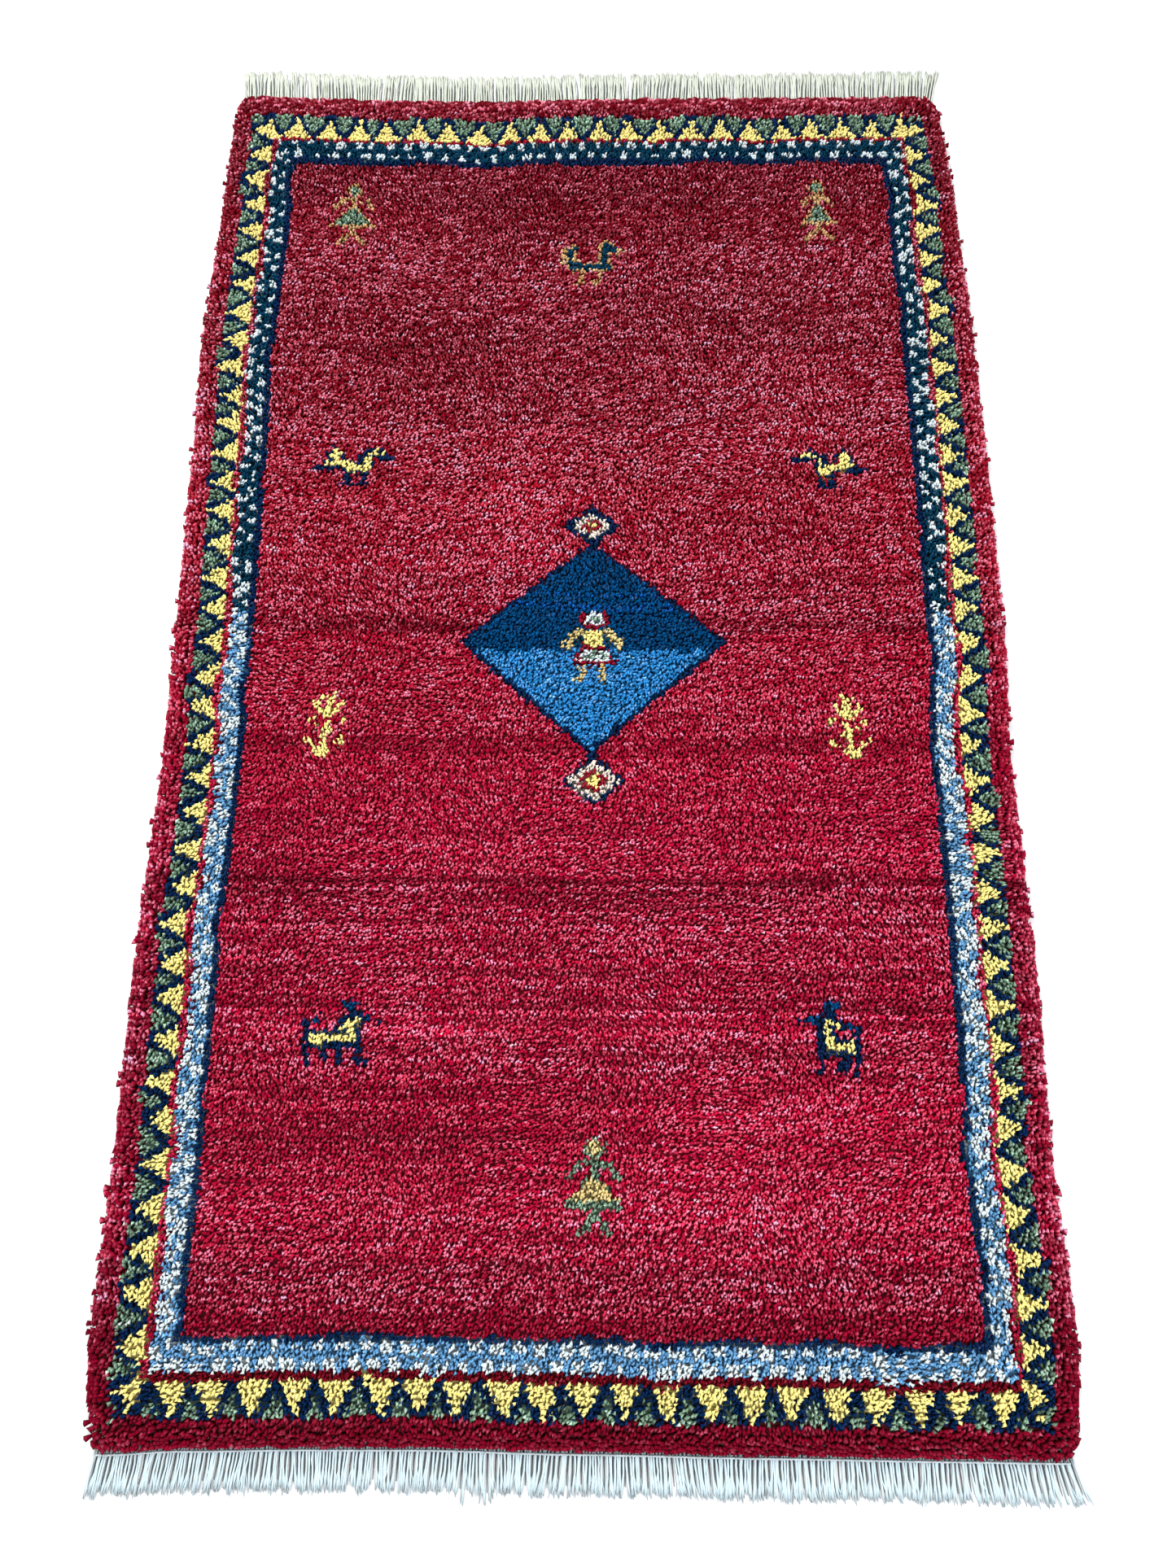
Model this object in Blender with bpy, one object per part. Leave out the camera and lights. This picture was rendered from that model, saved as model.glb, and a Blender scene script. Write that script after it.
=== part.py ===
"""Gabbeh rug: a thick wool pile on a woven ground, overcast side cords and warp fringes at both ends.

The rug lies flat on the floor with its length along +Y. The origin is the bottom centre of its box.
"""

import math
import random
from collections import namedtuple

import bmesh
import bpy
from mathutils import Vector, noise

# Driving sizes in metres
OVERALL_LENGTH = 1.654
OVERALL_WIDTH = 0.942
NEAR_FRINGE = 0.040
FAR_FRINGE = 0.056
TOTAL_THICKNESS = 0.0135
CORNER_RADIUS = 0.011
PIECE_GAP = 0.0003

# Unevenness of the pile's top and rim
LUMP_DEPTH = 0.0024
LUMP_SIZE = 0.070
RIM_WAVER = 0.0009

# Grid of the slab
COLUMNS = 24
LOCKS_A_SIDE = 30
LOCK_WIDTH = 0.006
LOCK_LENGTH = (0.0025, 0.0065)
LOCK_SCATTER = 0.18
CORNER_STEPS = (0.0, 0.12, 0.5, 1.0)

# Side cords
CORD_RADIUS = 0.0023
CORD_OVERRUN = 0.0015

# Fringes
STRANDS_AN_END = 110
STRAND_ROOT_WIDTH = 0.0036
STRAND_TIP_WIDTH = 0.0026
STRAND_TIP_SPACE = 0.0007
STRAND_THICKNESS = 0.0022
STRAND_TIP_THICKNESS = 0.0015
CLUMP_SIZES = (2, 3, 4, 5)
CLUMP_PULL = 0.75
SWAY = 0.0022
LENGTH_SPREAD = 0.0065
BAR_HEIGHT = 0.0030
BAR_PROUD = 0.0010
ROOT_WAVER = 0.0003
STRAND_SHARES = (0.45, 1.0)

SEED = 11

HALF_LENGTH = OVERALL_LENGTH / 2
HALF_WIDTH = OVERALL_WIDTH / 2
PILE_NEAR = -HALF_LENGTH + NEAR_FRINGE
PILE_FAR = HALF_LENGTH - FAR_FRINGE
PILE_LENGTH = PILE_FAR - PILE_NEAR
CORNER_SHARE = CORNER_RADIUS / PILE_LENGTH

# The long edges: share of the length from the near end, and where the left and right edges lie
SideStation = namedtuple("SideStation", "share left right")
SIDE_STATIONS = (
    SideStation(0.000, -0.4495, 0.4515),
    SideStation(0.055, -0.4585, 0.4605),
    SideStation(0.155, -0.4560, 0.4550),
    SideStation(0.290, -0.4580, 0.4580),
    SideStation(0.425, -0.4535, 0.4545),
    SideStation(0.520, -0.4560, 0.4615),
    SideStation(0.660, -0.4600, 0.4625),
    SideStation(0.755, -0.4645, 0.4615),
    SideStation(0.900, -0.4590, 0.4560),
    SideStation(1.000, -0.4560, 0.4465),
)

# The short edges: share of the width from the left, and how far each end stands beyond its mean line
EndStation = namedtuple("EndStation", "share near far")
END_STATIONS = (
    EndStation(0.00, 0.0035, 0.0055),
    EndStation(0.08, 0.0000, 0.0020),
    EndStation(0.22, -0.0020, -0.0020),
    EndStation(0.33, -0.0025, -0.0040),
    EndStation(0.50, 0.0000, 0.0000),
    EndStation(0.70, 0.0020, 0.0025),
    EndStation(0.90, 0.0035, 0.0040),
    EndStation(1.00, 0.0040, 0.0060),
)

# The rim's section from the pile's top to the floor: how far in from the edge, and the height
RimRing = namedtuple("RimRing", "inset height")
TOP_RING = RimRing(0.0035, TOTAL_THICKNESS)
RIM_RINGS = (
    RimRing(0.0010, 0.0118),
    RimRing(0.0000, 0.0088),
    RimRing(0.0006, 0.0056),
    RimRing(0.0056, 0.0053),
    RimRing(0.0056, 0.0000),
)
LOCK_RING = 2
GROUND_INSET = RIM_RINGS[-1].inset


def clear_scene():
    """Remove every object, so that the rug is alone."""
    for item in list(bpy.data.objects):
        bpy.data.objects.remove(item, do_unlink=True)


def make_material(name, colour, roughness):
    """A plain Principled material."""
    material = bpy.data.materials.new(name)
    material.use_nodes = True
    shader = material.node_tree.nodes["Principled BSDF"]
    shader.inputs["Base Color"].default_value = (*colour, 1.0)
    shader.inputs["Roughness"].default_value = roughness
    shader.inputs["Metallic"].default_value = 0.0
    return material


def read_station(stations, share, column):
    """The value of one column at a share, with an eased step between the table's rows."""
    for low, high in zip(stations, stations[1:]):
        if share <= high.share:
            step = (share - low.share) / (high.share - low.share)
            eased = step * step * (3.0 - 2.0 * step)
            start = getattr(low, column)
            return start + (getattr(high, column) - start) * eased
    return getattr(stations[-1], column)


def corner_draw(along):
    """How far a side draws in near its ends, as a quarter circle of CORNER_RADIUS."""
    from_end = min(along, 1.0 - along) * PILE_LENGTH
    if from_end >= CORNER_RADIUS:
        return 0.0
    rest = CORNER_RADIUS - from_end
    return CORNER_RADIUS - math.sqrt(CORNER_RADIUS ** 2 - rest ** 2)


def plan_point(across, along, inset):
    """The floor plan point at shares of the width and length, inset from the rug's edge."""
    draw = corner_draw(along)
    left = read_station(SIDE_STATIONS, along, "left") + inset + draw
    right = read_station(SIDE_STATIONS, along, "right") - inset - draw
    near = PILE_NEAR - read_station(END_STATIONS, across, "near") + inset
    far = PILE_FAR + read_station(END_STATIONS, across, "far") - inset
    return Vector((left + (right - left) * across, near + (far - near) * along, 0.0))


def lock_middles():
    """Shares of the length at which locks stand out of both long rims."""
    draws = random.Random(SEED)
    return [(number + 0.5 + draws.uniform(-LOCK_SCATTER, LOCK_SCATTER)) / LOCKS_A_SIDE
            for number in range(LOCKS_A_SIDE)]


def slab_rows():
    """Shares of the length for the slab's rows: round the corners, and a narrow row at each lock."""
    half_lock = LOCK_WIDTH / PILE_LENGTH / 2
    shares = [CORNER_SHARE * step for step in CORNER_STEPS]
    lock_rows = []
    for middle in lock_middles():
        lock_rows.append(len(shares))
        shares += [middle - half_lock, middle + half_lock]
    shares += [1.0 - CORNER_SHARE * step for step in reversed(CORNER_STEPS)]
    return shares, lock_rows


def top_height(point):
    """The height of the uneven pile top at a plan point."""
    lump = noise.noise(point / LUMP_SIZE)
    return TOP_RING.height + LUMP_DEPTH * (lump - 1.0) / 2


def build_pile(collection, material):
    """The lumpy slab: a grid for its top, rings down its rim, a flat underside and locks on its long rims."""
    draws = random.Random(SEED)
    shares, lock_rows = slab_rows()
    rows = len(shares) - 1
    body = bmesh.new()
    bmesh.ops.create_grid(body, x_segments=COLUMNS, y_segments=rows, size=1.0)
    places = {}
    for vertex in body.verts:
        column = round((vertex.co.x + 1.0) / 2 * COLUMNS)
        row = round((vertex.co.y + 1.0) / 2 * rows)
        places[vertex] = (column / COLUMNS, row)
        vertex.co = plan_point(column / COLUMNS, shares[row], TOP_RING.inset)
        vertex.co.z = top_height(vertex.co)

    loop = [edge for edge in body.edges if edge.is_boundary]
    wall_faces = []
    for ring_number, ring in enumerate(RIM_RINGS):
        before = {vertex: places[vertex] for edge in loop for vertex in edge.verts}
        grown = bmesh.ops.extrude_edge_only(body, edges=loop)["geom"]
        new_verts = [item for item in grown if isinstance(item, bmesh.types.BMVert)]
        for vertex in new_verts:
            parent = next(edge.other_vert(vertex) for edge in vertex.link_edges
                          if edge.other_vert(vertex) in before)
            places[vertex] = before[parent]
            across, row = places[vertex]
            vertex.co = plan_point(across, shares[row], ring.inset)
            vertex.co.z = ring.height
        loop = [item for item in grown if isinstance(item, bmesh.types.BMEdge)
                and not any(vertex in before for vertex in item.verts)]
        if ring_number == LOCK_RING:
            wall_faces = [item for item in grown if isinstance(item, bmesh.types.BMFace)]
        if 0 < ring_number <= LOCK_RING:
            for vertex in new_verts:
                away = Vector((vertex.co.x, vertex.co.y, 0.0)).normalized()
                vertex.co += away * draws.uniform(-RIM_WAVER, RIM_WAVER)
    bmesh.ops.edgeloop_fill(body, edges=loop)

    raise_locks(body, wall_faces, places, lock_rows, draws)
    bmesh.ops.triangulate(body, faces=list(body.faces), ngon_method="BEAUTY")
    bmesh.ops.recalc_face_normals(body, faces=list(body.faces))
    return add_object("pile_rug", body, collection, material)


def raise_locks(body, wall_faces, places, lock_rows, draws):
    """Draw one wall face at each lock row of both long rims out into a short four-sided lock."""
    longest = LOCKS_A_SIDE // 2
    for side in (0.0, 1.0):
        outward = 1.0 if side else -1.0
        for number, row in enumerate(lock_rows):
            face = next(item for item in wall_faces if item.is_valid and
                        all(places[vertex] in ((side, row), (side, row + 1)) for vertex in item.verts))
            middle = face.calc_center_median()
            reach = abs(middle.x) + draws.uniform(*LOCK_LENGTH)
            if number == longest:
                reach = HALF_WIDTH
            poked = bmesh.ops.poke(body, faces=[face])
            tip = poked["verts"][0]
            tip.co.x = outward * min(reach, HALF_WIDTH)
            tip.co.y += draws.uniform(-LOCK_WIDTH, LOCK_WIDTH) / 2
            tip.co.z -= draws.uniform(0.0, TOTAL_THICKNESS / 8)


def build_cord(name, side, collection, material):
    """One overcast side cord under the overhanging pile, showing where the pile's corners round off."""
    curve = bpy.data.curves.new(name, "CURVE")
    curve.dimensions = "3D"
    curve.bevel_depth = CORD_RADIUS
    curve.bevel_resolution = 2
    curve.use_fill_caps = True
    column = "right" if side > 0 else "left"
    centre_inset = GROUND_INSET - PIECE_GAP - CORD_RADIUS
    overrun = CORD_OVERRUN / PILE_LENGTH
    shares = [-overrun, CORNER_SHARE, *lock_middles(), 1.0 - CORNER_SHARE, 1.0 + overrun]
    near = plan_point(0.5 + 0.5 * side, 0.0, 0.0).y
    far = plan_point(0.5 + 0.5 * side, 1.0, 0.0).y
    spline = curve.splines.new("POLY")
    spline.points.add(len(shares) - 1)
    for share, point in zip(shares, spline.points):
        edge = read_station(SIDE_STATIONS, max(share, 0.0), column)
        point.co = (edge - side * centre_inset, near + (far - near) * share, CORD_RADIUS, 1.0)
    cord = bpy.data.objects.new(name, curve)
    curve.materials.append(material)
    collection.objects.link(cord)
    return cord


def clump_tips(centres, draws):
    """Where each strand's tip lies across: neighbours gather in clumps without touching."""
    tips = []
    spacing = STRAND_TIP_WIDTH + STRAND_TIP_SPACE
    first = 0
    while first < len(centres):
        size = min(draws.choice(CLUMP_SIZES), len(centres) - first)
        group = centres[first:first + size]
        middle = sum(group) / size
        lean = draws.uniform(-SWAY, SWAY)
        for number, centre in enumerate(group):
            gathered = middle + (number - (size - 1) / 2) * spacing
            tips.append(centre + (gathered - centre) * CLUMP_PULL + lean)
        first += size
    return tips


def bar_root(x, side):
    """The Y of a strand's root at an X: a little proud of the pile's end line."""
    end_share = 0.5 + 0.5 * side
    left = plan_point(0.0, end_share, 0.0).x
    right = plan_point(1.0, end_share, 0.0).x
    across = min(max((x - left) / (right - left), 0.0), 1.0)
    return plan_point(across, end_share, -BAR_PROUD).y


def bar_back(start, end, side):
    """The bar's back line, right to left: the ground's end line, a piece's gap away."""
    end_share = 0.5 + 0.5 * side
    inset = GROUND_INSET - PIECE_GAP
    line = [plan_point(number / COLUMNS, end_share, inset) for number in range(COLUMNS, -1, -1)]
    return [Vector((end, line[0].y, 0.0)), *line, Vector((start, line[-1].y, 0.0))]


def build_fringe(name, side, collection, material):
    """One end's fringe: a narrow twined bar, and strands drawn out of its face, level on the floor."""
    draws = random.Random(SEED + (1 if side > 0 else 2))
    end_share = 0.5 + 0.5 * side
    start = read_station(SIDE_STATIONS, end_share, "left") + CORNER_RADIUS
    end = read_station(SIDE_STATIONS, end_share, "right") - CORNER_RADIUS
    pitch = (end - start) / STRANDS_AN_END
    centres = [start + (number + 0.5) * pitch for number in range(STRANDS_AN_END)]

    body = bmesh.new()
    outline = []
    for centre in centres:
        root = bar_root(centre, side) + side * draws.uniform(-ROOT_WAVER, ROOT_WAVER)
        for offset in (-0.5, 0.5):
            outline.append(body.verts.new((centre + offset * STRAND_ROOT_WIDTH, root, 0.0)))
    outline += [body.verts.new(point) for point in bar_back(start, end, side)]
    base = body.faces.new(outline)
    risen = bmesh.ops.extrude_face_region(body, geom=[base])["geom"]
    for item in risen:
        if isinstance(item, bmesh.types.BMVert):
            item.co.z = BAR_HEIGHT

    tips = clump_tips(centres, draws)
    longest = STRANDS_AN_END // 3
    for number, centre in enumerate(centres):
        face = strand_root(body, outline[2 * number], outline[2 * number + 1])
        root = outline[2 * number].co.y
        short = 0.0 if number == longest else draws.uniform(0.0, LENGTH_SPREAD)
        tip = side * (HALF_LENGTH - short)
        for share in STRAND_SHARES:
            x = centre + (tips[number] - centre) * share
            width = STRAND_ROOT_WIDTH + (STRAND_TIP_WIDTH - STRAND_ROOT_WIDTH) * share
            height = STRAND_THICKNESS + (STRAND_TIP_THICKNESS - STRAND_THICKNESS) * share
            face = draw_strand(body, face, x, root + (tip - root) * share, width, height)
    bmesh.ops.triangulate(body, faces=list(body.faces), ngon_method="BEAUTY")
    bmesh.ops.recalc_face_normals(body, faces=list(body.faces))
    return add_object(name, body, collection, material)


def strand_root(body, first, second):
    """The upright bar face that stands on the edge between two outline points."""
    edge = body.edges.get((first, second))
    return next(face for face in edge.link_faces if len(face.verts) == 4)


def draw_strand(body, face, x, y, width, height):
    """Extrude a strand's end face to a new section and return the new end face."""
    middle = face.calc_center_median()
    corners = [(vertex.co.x > middle.x, vertex.co.z > middle.z) for vertex in face.verts]
    new_face = bmesh.ops.extrude_discrete_faces(body, faces=[face])["faces"][0]
    for vertex, (is_right, is_top) in zip(new_face.verts, corners):
        vertex.co = (x + (width if is_right else -width) / 2, y, height if is_top else 0.0)
    return new_face


def add_object(name, body, collection, material):
    """Turn a bmesh into a named object with its material."""
    mesh = bpy.data.meshes.new(name)
    body.to_mesh(mesh)
    body.free()
    mesh.materials.append(material)
    thing = bpy.data.objects.new(name, mesh)
    collection.objects.link(thing)
    return thing


def build_rug():
    """Build every piece of the rug in one collection."""
    clear_scene()
    collection = bpy.data.collections.new("gabbeh_rug")
    bpy.context.scene.collection.children.link(collection)
    wool = make_material("red_wool_pile", (0.33, 0.012, 0.035), 0.9)
    overcast_left = make_material("dark_wool_overcast_left", (0.16, 0.02, 0.03), 0.9)
    overcast_right = make_material("dark_wool_overcast_right", (0.16, 0.02, 0.03), 0.9)
    cotton_near = make_material("white_cotton_near", (0.80, 0.83, 0.84), 0.85)
    cotton_far = make_material("white_cotton_far", (0.80, 0.83, 0.84), 0.85)
    build_pile(collection, wool)
    build_cord("selvedge_left", -1, collection, overcast_left)
    build_cord("selvedge_right", 1, collection, overcast_right)
    build_fringe("fringe_near", -1, collection, cotton_near)
    build_fringe("fringe_far", 1, collection, cotton_far)


build_rug()
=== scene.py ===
import math
from collections import namedtuple

import bpy
import numpy as np
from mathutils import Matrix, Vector


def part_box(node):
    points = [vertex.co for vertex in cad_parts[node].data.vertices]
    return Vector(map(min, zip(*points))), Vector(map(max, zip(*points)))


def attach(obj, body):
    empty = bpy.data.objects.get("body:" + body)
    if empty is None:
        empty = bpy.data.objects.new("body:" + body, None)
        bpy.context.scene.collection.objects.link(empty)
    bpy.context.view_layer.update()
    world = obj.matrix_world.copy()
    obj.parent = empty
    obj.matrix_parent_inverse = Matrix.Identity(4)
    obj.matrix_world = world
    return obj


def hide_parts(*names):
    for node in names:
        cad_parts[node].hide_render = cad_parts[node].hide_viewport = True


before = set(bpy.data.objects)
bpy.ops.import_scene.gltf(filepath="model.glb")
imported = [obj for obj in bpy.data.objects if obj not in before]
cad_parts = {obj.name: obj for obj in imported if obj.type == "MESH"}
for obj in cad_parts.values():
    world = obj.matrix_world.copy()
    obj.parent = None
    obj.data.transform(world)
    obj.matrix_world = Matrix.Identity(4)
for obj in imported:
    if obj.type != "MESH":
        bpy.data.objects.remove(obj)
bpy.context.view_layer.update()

DRAWS = np.random.default_rng(7)

# Sizes that follow the solids, in metres
RUG_LOW, RUG_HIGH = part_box("pile_rug")
NEAR_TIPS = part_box("fringe_near")[0].y
FAR_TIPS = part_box("fringe_far")[1].y
PILE_NEAR = NEAR_TIPS + 0.040
PILE_FAR = FAR_TIPS - 0.056
PILE_LENGTH = PILE_FAR - PILE_NEAR
CORNER_RADIUS = 0.011
GROUND_INSET = 0.0056
CORD_RADIUS = 0.0023
GROUND_TOP = 0.0040

# Knots of the chart, and the cut yarn ends that show it
COLUMNS = 240
ROWS = 416
KNOT_PITCH = PILE_LENGTH / ROWS
TUFT_COLUMNS = 272
TUFT_ROWS = 460
TUFT_SIDES = 3
TUFT_RADIUS = 0.0026
SHOULDER_DROP = 0.0024
STRIPS = 6
ROOT_INSET = 0.0040
RIM_TUFTS = 10
RIM_PLACES = ((0.05, 0.40), (0.55, 1.45), (1.45, 2.55), (2.50, 3.70))
NEAR_CORNER_FADE = 0.010
FAR_CORNER_FADE = 0.020
RIM_JITTER = 0.55
INNER_JITTER = 0.36
SIDE_LEAN = 0.0076
NEAR_LEAN = 0.0066
FAR_LEAN = 0.0110
STRAY_LOCK = 0.0048
STRAY_SHARE = 0.11
BRUSH_WAY = 1.05
BRUSH_SWING = 0.55
BRUSH_LEAN = 0.0012
TUFT_STRETCH = 1.28
RIM_STRETCH = 0.82

# Camera: a phone's wide lens, 1.2 m above the near half of the rug
CAMERA_PLACE = (0.0104, -0.5186, 1.2139)
CAMERA_TURN = (16.918, 0.257, 0.362)
CAMERA_LENS = 27.0
SENSOR_SIZE = 36.0

# The long edges: share of the length from the near end, and where the left and right edges lie
SideStation = namedtuple("SideStation", "share left right")
SIDE_STATIONS = (
    SideStation(0.000, -0.4495, 0.4515),
    SideStation(0.055, -0.4585, 0.4605),
    SideStation(0.155, -0.4560, 0.4550),
    SideStation(0.290, -0.4580, 0.4580),
    SideStation(0.425, -0.4535, 0.4545),
    SideStation(0.520, -0.4560, 0.4615),
    SideStation(0.660, -0.4600, 0.4625),
    SideStation(0.755, -0.4645, 0.4615),
    SideStation(0.900, -0.4590, 0.4560),
    SideStation(1.000, -0.4560, 0.4465),
)

# The short edges: share of the width from the left, and how far each end stands beyond its mean line
EndStation = namedtuple("EndStation", "share near far")
END_STATIONS = (
    EndStation(0.00, 0.0035, 0.0055),
    EndStation(0.08, 0.0000, 0.0020),
    EndStation(0.22, -0.0020, -0.0020),
    EndStation(0.33, -0.0025, -0.0040),
    EndStation(0.50, 0.0000, 0.0000),
    EndStation(0.70, 0.0020, 0.0025),
    EndStation(0.90, 0.0035, 0.0040),
    EndStation(1.00, 0.0040, 0.0060),
)

# Each yarn's deep colour as screen values from 0 to 255, its painted shade low down on its tufts, its painted
# highlight on the cut ends, and how uneven it is from tuft to tuft
Yarn = namedtuple("Yarn", "colour ring shine uneven")
YARNS = {
    "wine": Yarn((112, 5, 24), 0.72, 0.030, 0.10),
    "madder": Yarn((142, 12, 36), 0.72, 0.050, 0.12),
    "yellow": Yarn((248, 229, 142), 0.84, 0.040, 0.05),
    "cream": Yarn((208, 184, 122), 0.72, 0.120, 0.20),
    "green": Yarn((106, 133, 111), 0.62, 0.110, 0.40),
    "navy": Yarn((5, 36, 75), 0.70, 0.010, 0.15),
    "petrol": Yarn((3, 54, 78), 0.70, 0.016, 0.18),
    "deep_blue": Yarn((0, 62, 108), 0.84, 0.014, 0.28),
    "mid_blue": Yarn((34, 120, 180), 0.82, 0.150, 0.20),
    "light_blue": Yarn((92, 144, 186), 0.72, 0.080, 0.18),
    "white": Yarn((208, 219, 222), 0.82, 0.050, 0.05),
    "ivory": Yarn((222, 210, 196), 0.82, 0.060, 0.06),
    "gold": Yarn((186, 146, 96), 0.72, 0.140, 0.24),
    "field": Yarn((158, 10, 36), 0.80, 0.100, 0.10),
    "edge_red": Yarn((120, 8, 28), 0.80, 0.050, 0.10),
}
YARN_NAMES = list(YARNS)

# The field's dye bands from the near end, their reds partly painted shade that darkens the far end: start, red
# of the deep colour, painted highlight on the cut ends, and strength of the streaks along its rows
DyeAndPaintedLightBand = namedtuple("DyeAndPaintedLightBand", "start red shine streaks")
DYE_AND_PAINTED_LIGHT_BANDS = (
    DyeAndPaintedLightBand(-0.790, 148, 0.040, 0.09),
    DyeAndPaintedLightBand(-0.735, 139, 0.072, 0.09),
    DyeAndPaintedLightBand(-0.674, 149, 0.425, 0.10),
    DyeAndPaintedLightBand(-0.630, 169, 0.321, 0.10),
    DyeAndPaintedLightBand(-0.598, 177, 0.439, 0.10),
    DyeAndPaintedLightBand(-0.562, 168, 0.223, 0.14),
    DyeAndPaintedLightBand(-0.520, 161, 0.158, 0.14),
    DyeAndPaintedLightBand(-0.492, 172, 0.276, 0.14),
    DyeAndPaintedLightBand(-0.474, 150, 0.130, 0.11),
    DyeAndPaintedLightBand(-0.456, 157, 0.305, 0.18),
    DyeAndPaintedLightBand(-0.416, 173, 0.299, 0.18),
    DyeAndPaintedLightBand(-0.396, 159, 0.237, 0.18),
    DyeAndPaintedLightBand(-0.358, 163, 0.309, 0.16),
    DyeAndPaintedLightBand(-0.298, 146, 0.180, 0.19),
    DyeAndPaintedLightBand(-0.276, 141, 0.187, 0.21),
    DyeAndPaintedLightBand(-0.254, 172, 0.288, 0.14),
    DyeAndPaintedLightBand(-0.214, 167, 0.215, 0.09),
    DyeAndPaintedLightBand(-0.122, 154, 0.113, 0.08),
    DyeAndPaintedLightBand(-0.098, 161, 0.309, 0.08),
    DyeAndPaintedLightBand(0.006, 161, 0.268, 0.10),
    DyeAndPaintedLightBand(0.024, 127, 0.228, 0.12),
    DyeAndPaintedLightBand(0.046, 145, 0.439, 0.10),
    DyeAndPaintedLightBand(0.096, 158, 0.600, 0.09),
    DyeAndPaintedLightBand(0.126, 145, 0.381, 0.10),
    DyeAndPaintedLightBand(0.206, 140, 0.370, 0.10),
    DyeAndPaintedLightBand(0.226, 140, 0.501, 0.10),
    DyeAndPaintedLightBand(0.286, 126, 0.410, 0.10),
    DyeAndPaintedLightBand(0.396, 116, 0.373, 0.09),
    DyeAndPaintedLightBand(0.566, 111, 0.171, 0.07),
    DyeAndPaintedLightBand(0.606, 103, 0.215, 0.06),
)
DEEP_RED_GREEN = 0.008
DEEP_RED_BLUES = (0.080, 0.048)
EDGE_RED_TONES = (-0.45, -0.06)
# Painted shade: the yarns other than the field darker towards the far end
FAR_DIMMING = 0.17
# Painted highlight on the cut ends: the share of the yarn's own hue, and the pale colour added
OWN_HUE_SHARE = 0.70
PAINTED_GLOSS = (0.30, 0.27, 0.36)
SKY_ROWS = ((0.052, 0.060), (0.070, 0.072))
SKY_BLUE = (6, 72, 142)
SKY_SHARE = 0.5
# Painted highlights: share of cut ends copied from their neighbour, and how much row streaks strengthen them
DASH_SHARE = 0.50
STREAK_PAINTED_SHINE = 3.0

# Lighter and darker patches of the field, painted shade and sheen where the pile is brushed another way: middle,
# half sizes and how much lighter
Patch = namedtuple("Patch", "x y half_width half_length lift")
PATCHES = (
    Patch(-0.275, 0.565, 0.060, 0.045, 0.9),
    Patch(-0.075, 0.470, 0.050, 0.030, 0.6),
    Patch(-0.040, 0.585, 0.080, 0.030, -0.8),
    Patch(0.330, 0.470, 0.060, 0.160, 0.5),
    Patch(-0.200, 0.370, 0.080, 0.030, -1.0),
    Patch(0.240, 0.325, 0.090, 0.045, 0.9),
    Patch(-0.080, 0.205, 0.045, 0.040, 1.3),
    Patch(-0.075, 0.150, 0.045, 0.045, 1.3),
    Patch(-0.205, 0.165, 0.060, 0.040, 0.9),
    Patch(0.210, 0.155, 0.060, 0.025, -0.6),
    Patch(-0.230, -0.020, 0.080, 0.060, -0.3),
    Patch(0.050, -0.135, 0.080, 0.035, 0.6),
    Patch(-0.330, -0.240, 0.060, 0.060, -0.9),
    Patch(-0.120, -0.410, 0.110, 0.040, 0.8),
    Patch(0.100, -0.400, 0.050, 0.060, 0.8),
    Patch(0.250, -0.490, 0.110, 0.028, 1.6),
    Patch(-0.230, -0.515, 0.150, 0.035, -1.1),
    Patch(0.130, -0.560, 0.080, 0.050, 0.9),
    Patch(-0.310, -0.620, 0.090, 0.050, -0.4),
)
# How strongly the patches change the painted shade of the colour and the painted highlight
PATCH_TONE = 0.18
PATCH_PAINTED_SHINE = 0.50

def to_linear(colour):
    """A screen colour of 0 to 255 as linear light."""
    value = np.asarray(colour, float) / 255.0
    return np.where(value <= 0.04045, value / 12.92, ((value + 0.055) / 1.055) ** 2.4)


def read_station(stations, share, column):
    """One column's value at each share, with an eased step between the table's rows."""
    share = np.asarray(share, float)
    shares = np.array([row.share for row in stations])
    values = np.array([getattr(row, column) for row in stations])
    low = np.clip(np.searchsorted(shares, share, side="right") - 1, 0, len(shares) - 2)
    step = np.clip((share - shares[low]) / (shares[low + 1] - shares[low]), 0.0, 1.0)
    eased = step * step * (3.0 - 2.0 * step)
    return values[low] + (values[low + 1] - values[low]) * eased


def plan_point(across, along, inset):
    """Floor plan X and Y at shares of the width and length, inset from the rug's edge."""
    from_end = np.minimum(along, 1.0 - along) * PILE_LENGTH
    rest = np.clip(CORNER_RADIUS - from_end, 0.0, CORNER_RADIUS)
    draw = CORNER_RADIUS - np.sqrt(CORNER_RADIUS ** 2 - rest ** 2)
    left = read_station(SIDE_STATIONS, along, "left") + inset + draw
    right = read_station(SIDE_STATIONS, along, "right") - inset - draw
    near = PILE_NEAR - read_station(END_STATIONS, across, "near") + inset
    far = PILE_FAR + read_station(END_STATIONS, across, "far") - inset
    return left + (right - left) * across, near + (far - near) * along


def slow_wave(position, lengths, seed):
    """A smooth uneven value in about -1 to 1 along one direction."""
    shifts = np.random.default_rng(seed).uniform(0.0, 2.0 * math.pi, len(lengths))
    waves = [np.sin(2.0 * math.pi * position / length + shift) for length, shift in zip(lengths, shifts)]
    return sum(waves) / math.sqrt(len(lengths))


def clouds(x, y, size, seed):
    """A smooth uneven value in about -1 to 1 over the floor plan."""
    draws = np.random.default_rng(seed)
    total = np.zeros(np.shape(x))
    for _ in range(9):
        turn = draws.uniform(0.0, 2.0 * math.pi)
        rate = 2.0 * math.pi / (size * draws.uniform(0.6, 1.9))
        total += np.sin(rate * (x * math.cos(turn) + y * math.sin(turn)) + draws.uniform(0.0, 2.0 * math.pi))
    return total / 3.0


# The chart of knots

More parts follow.
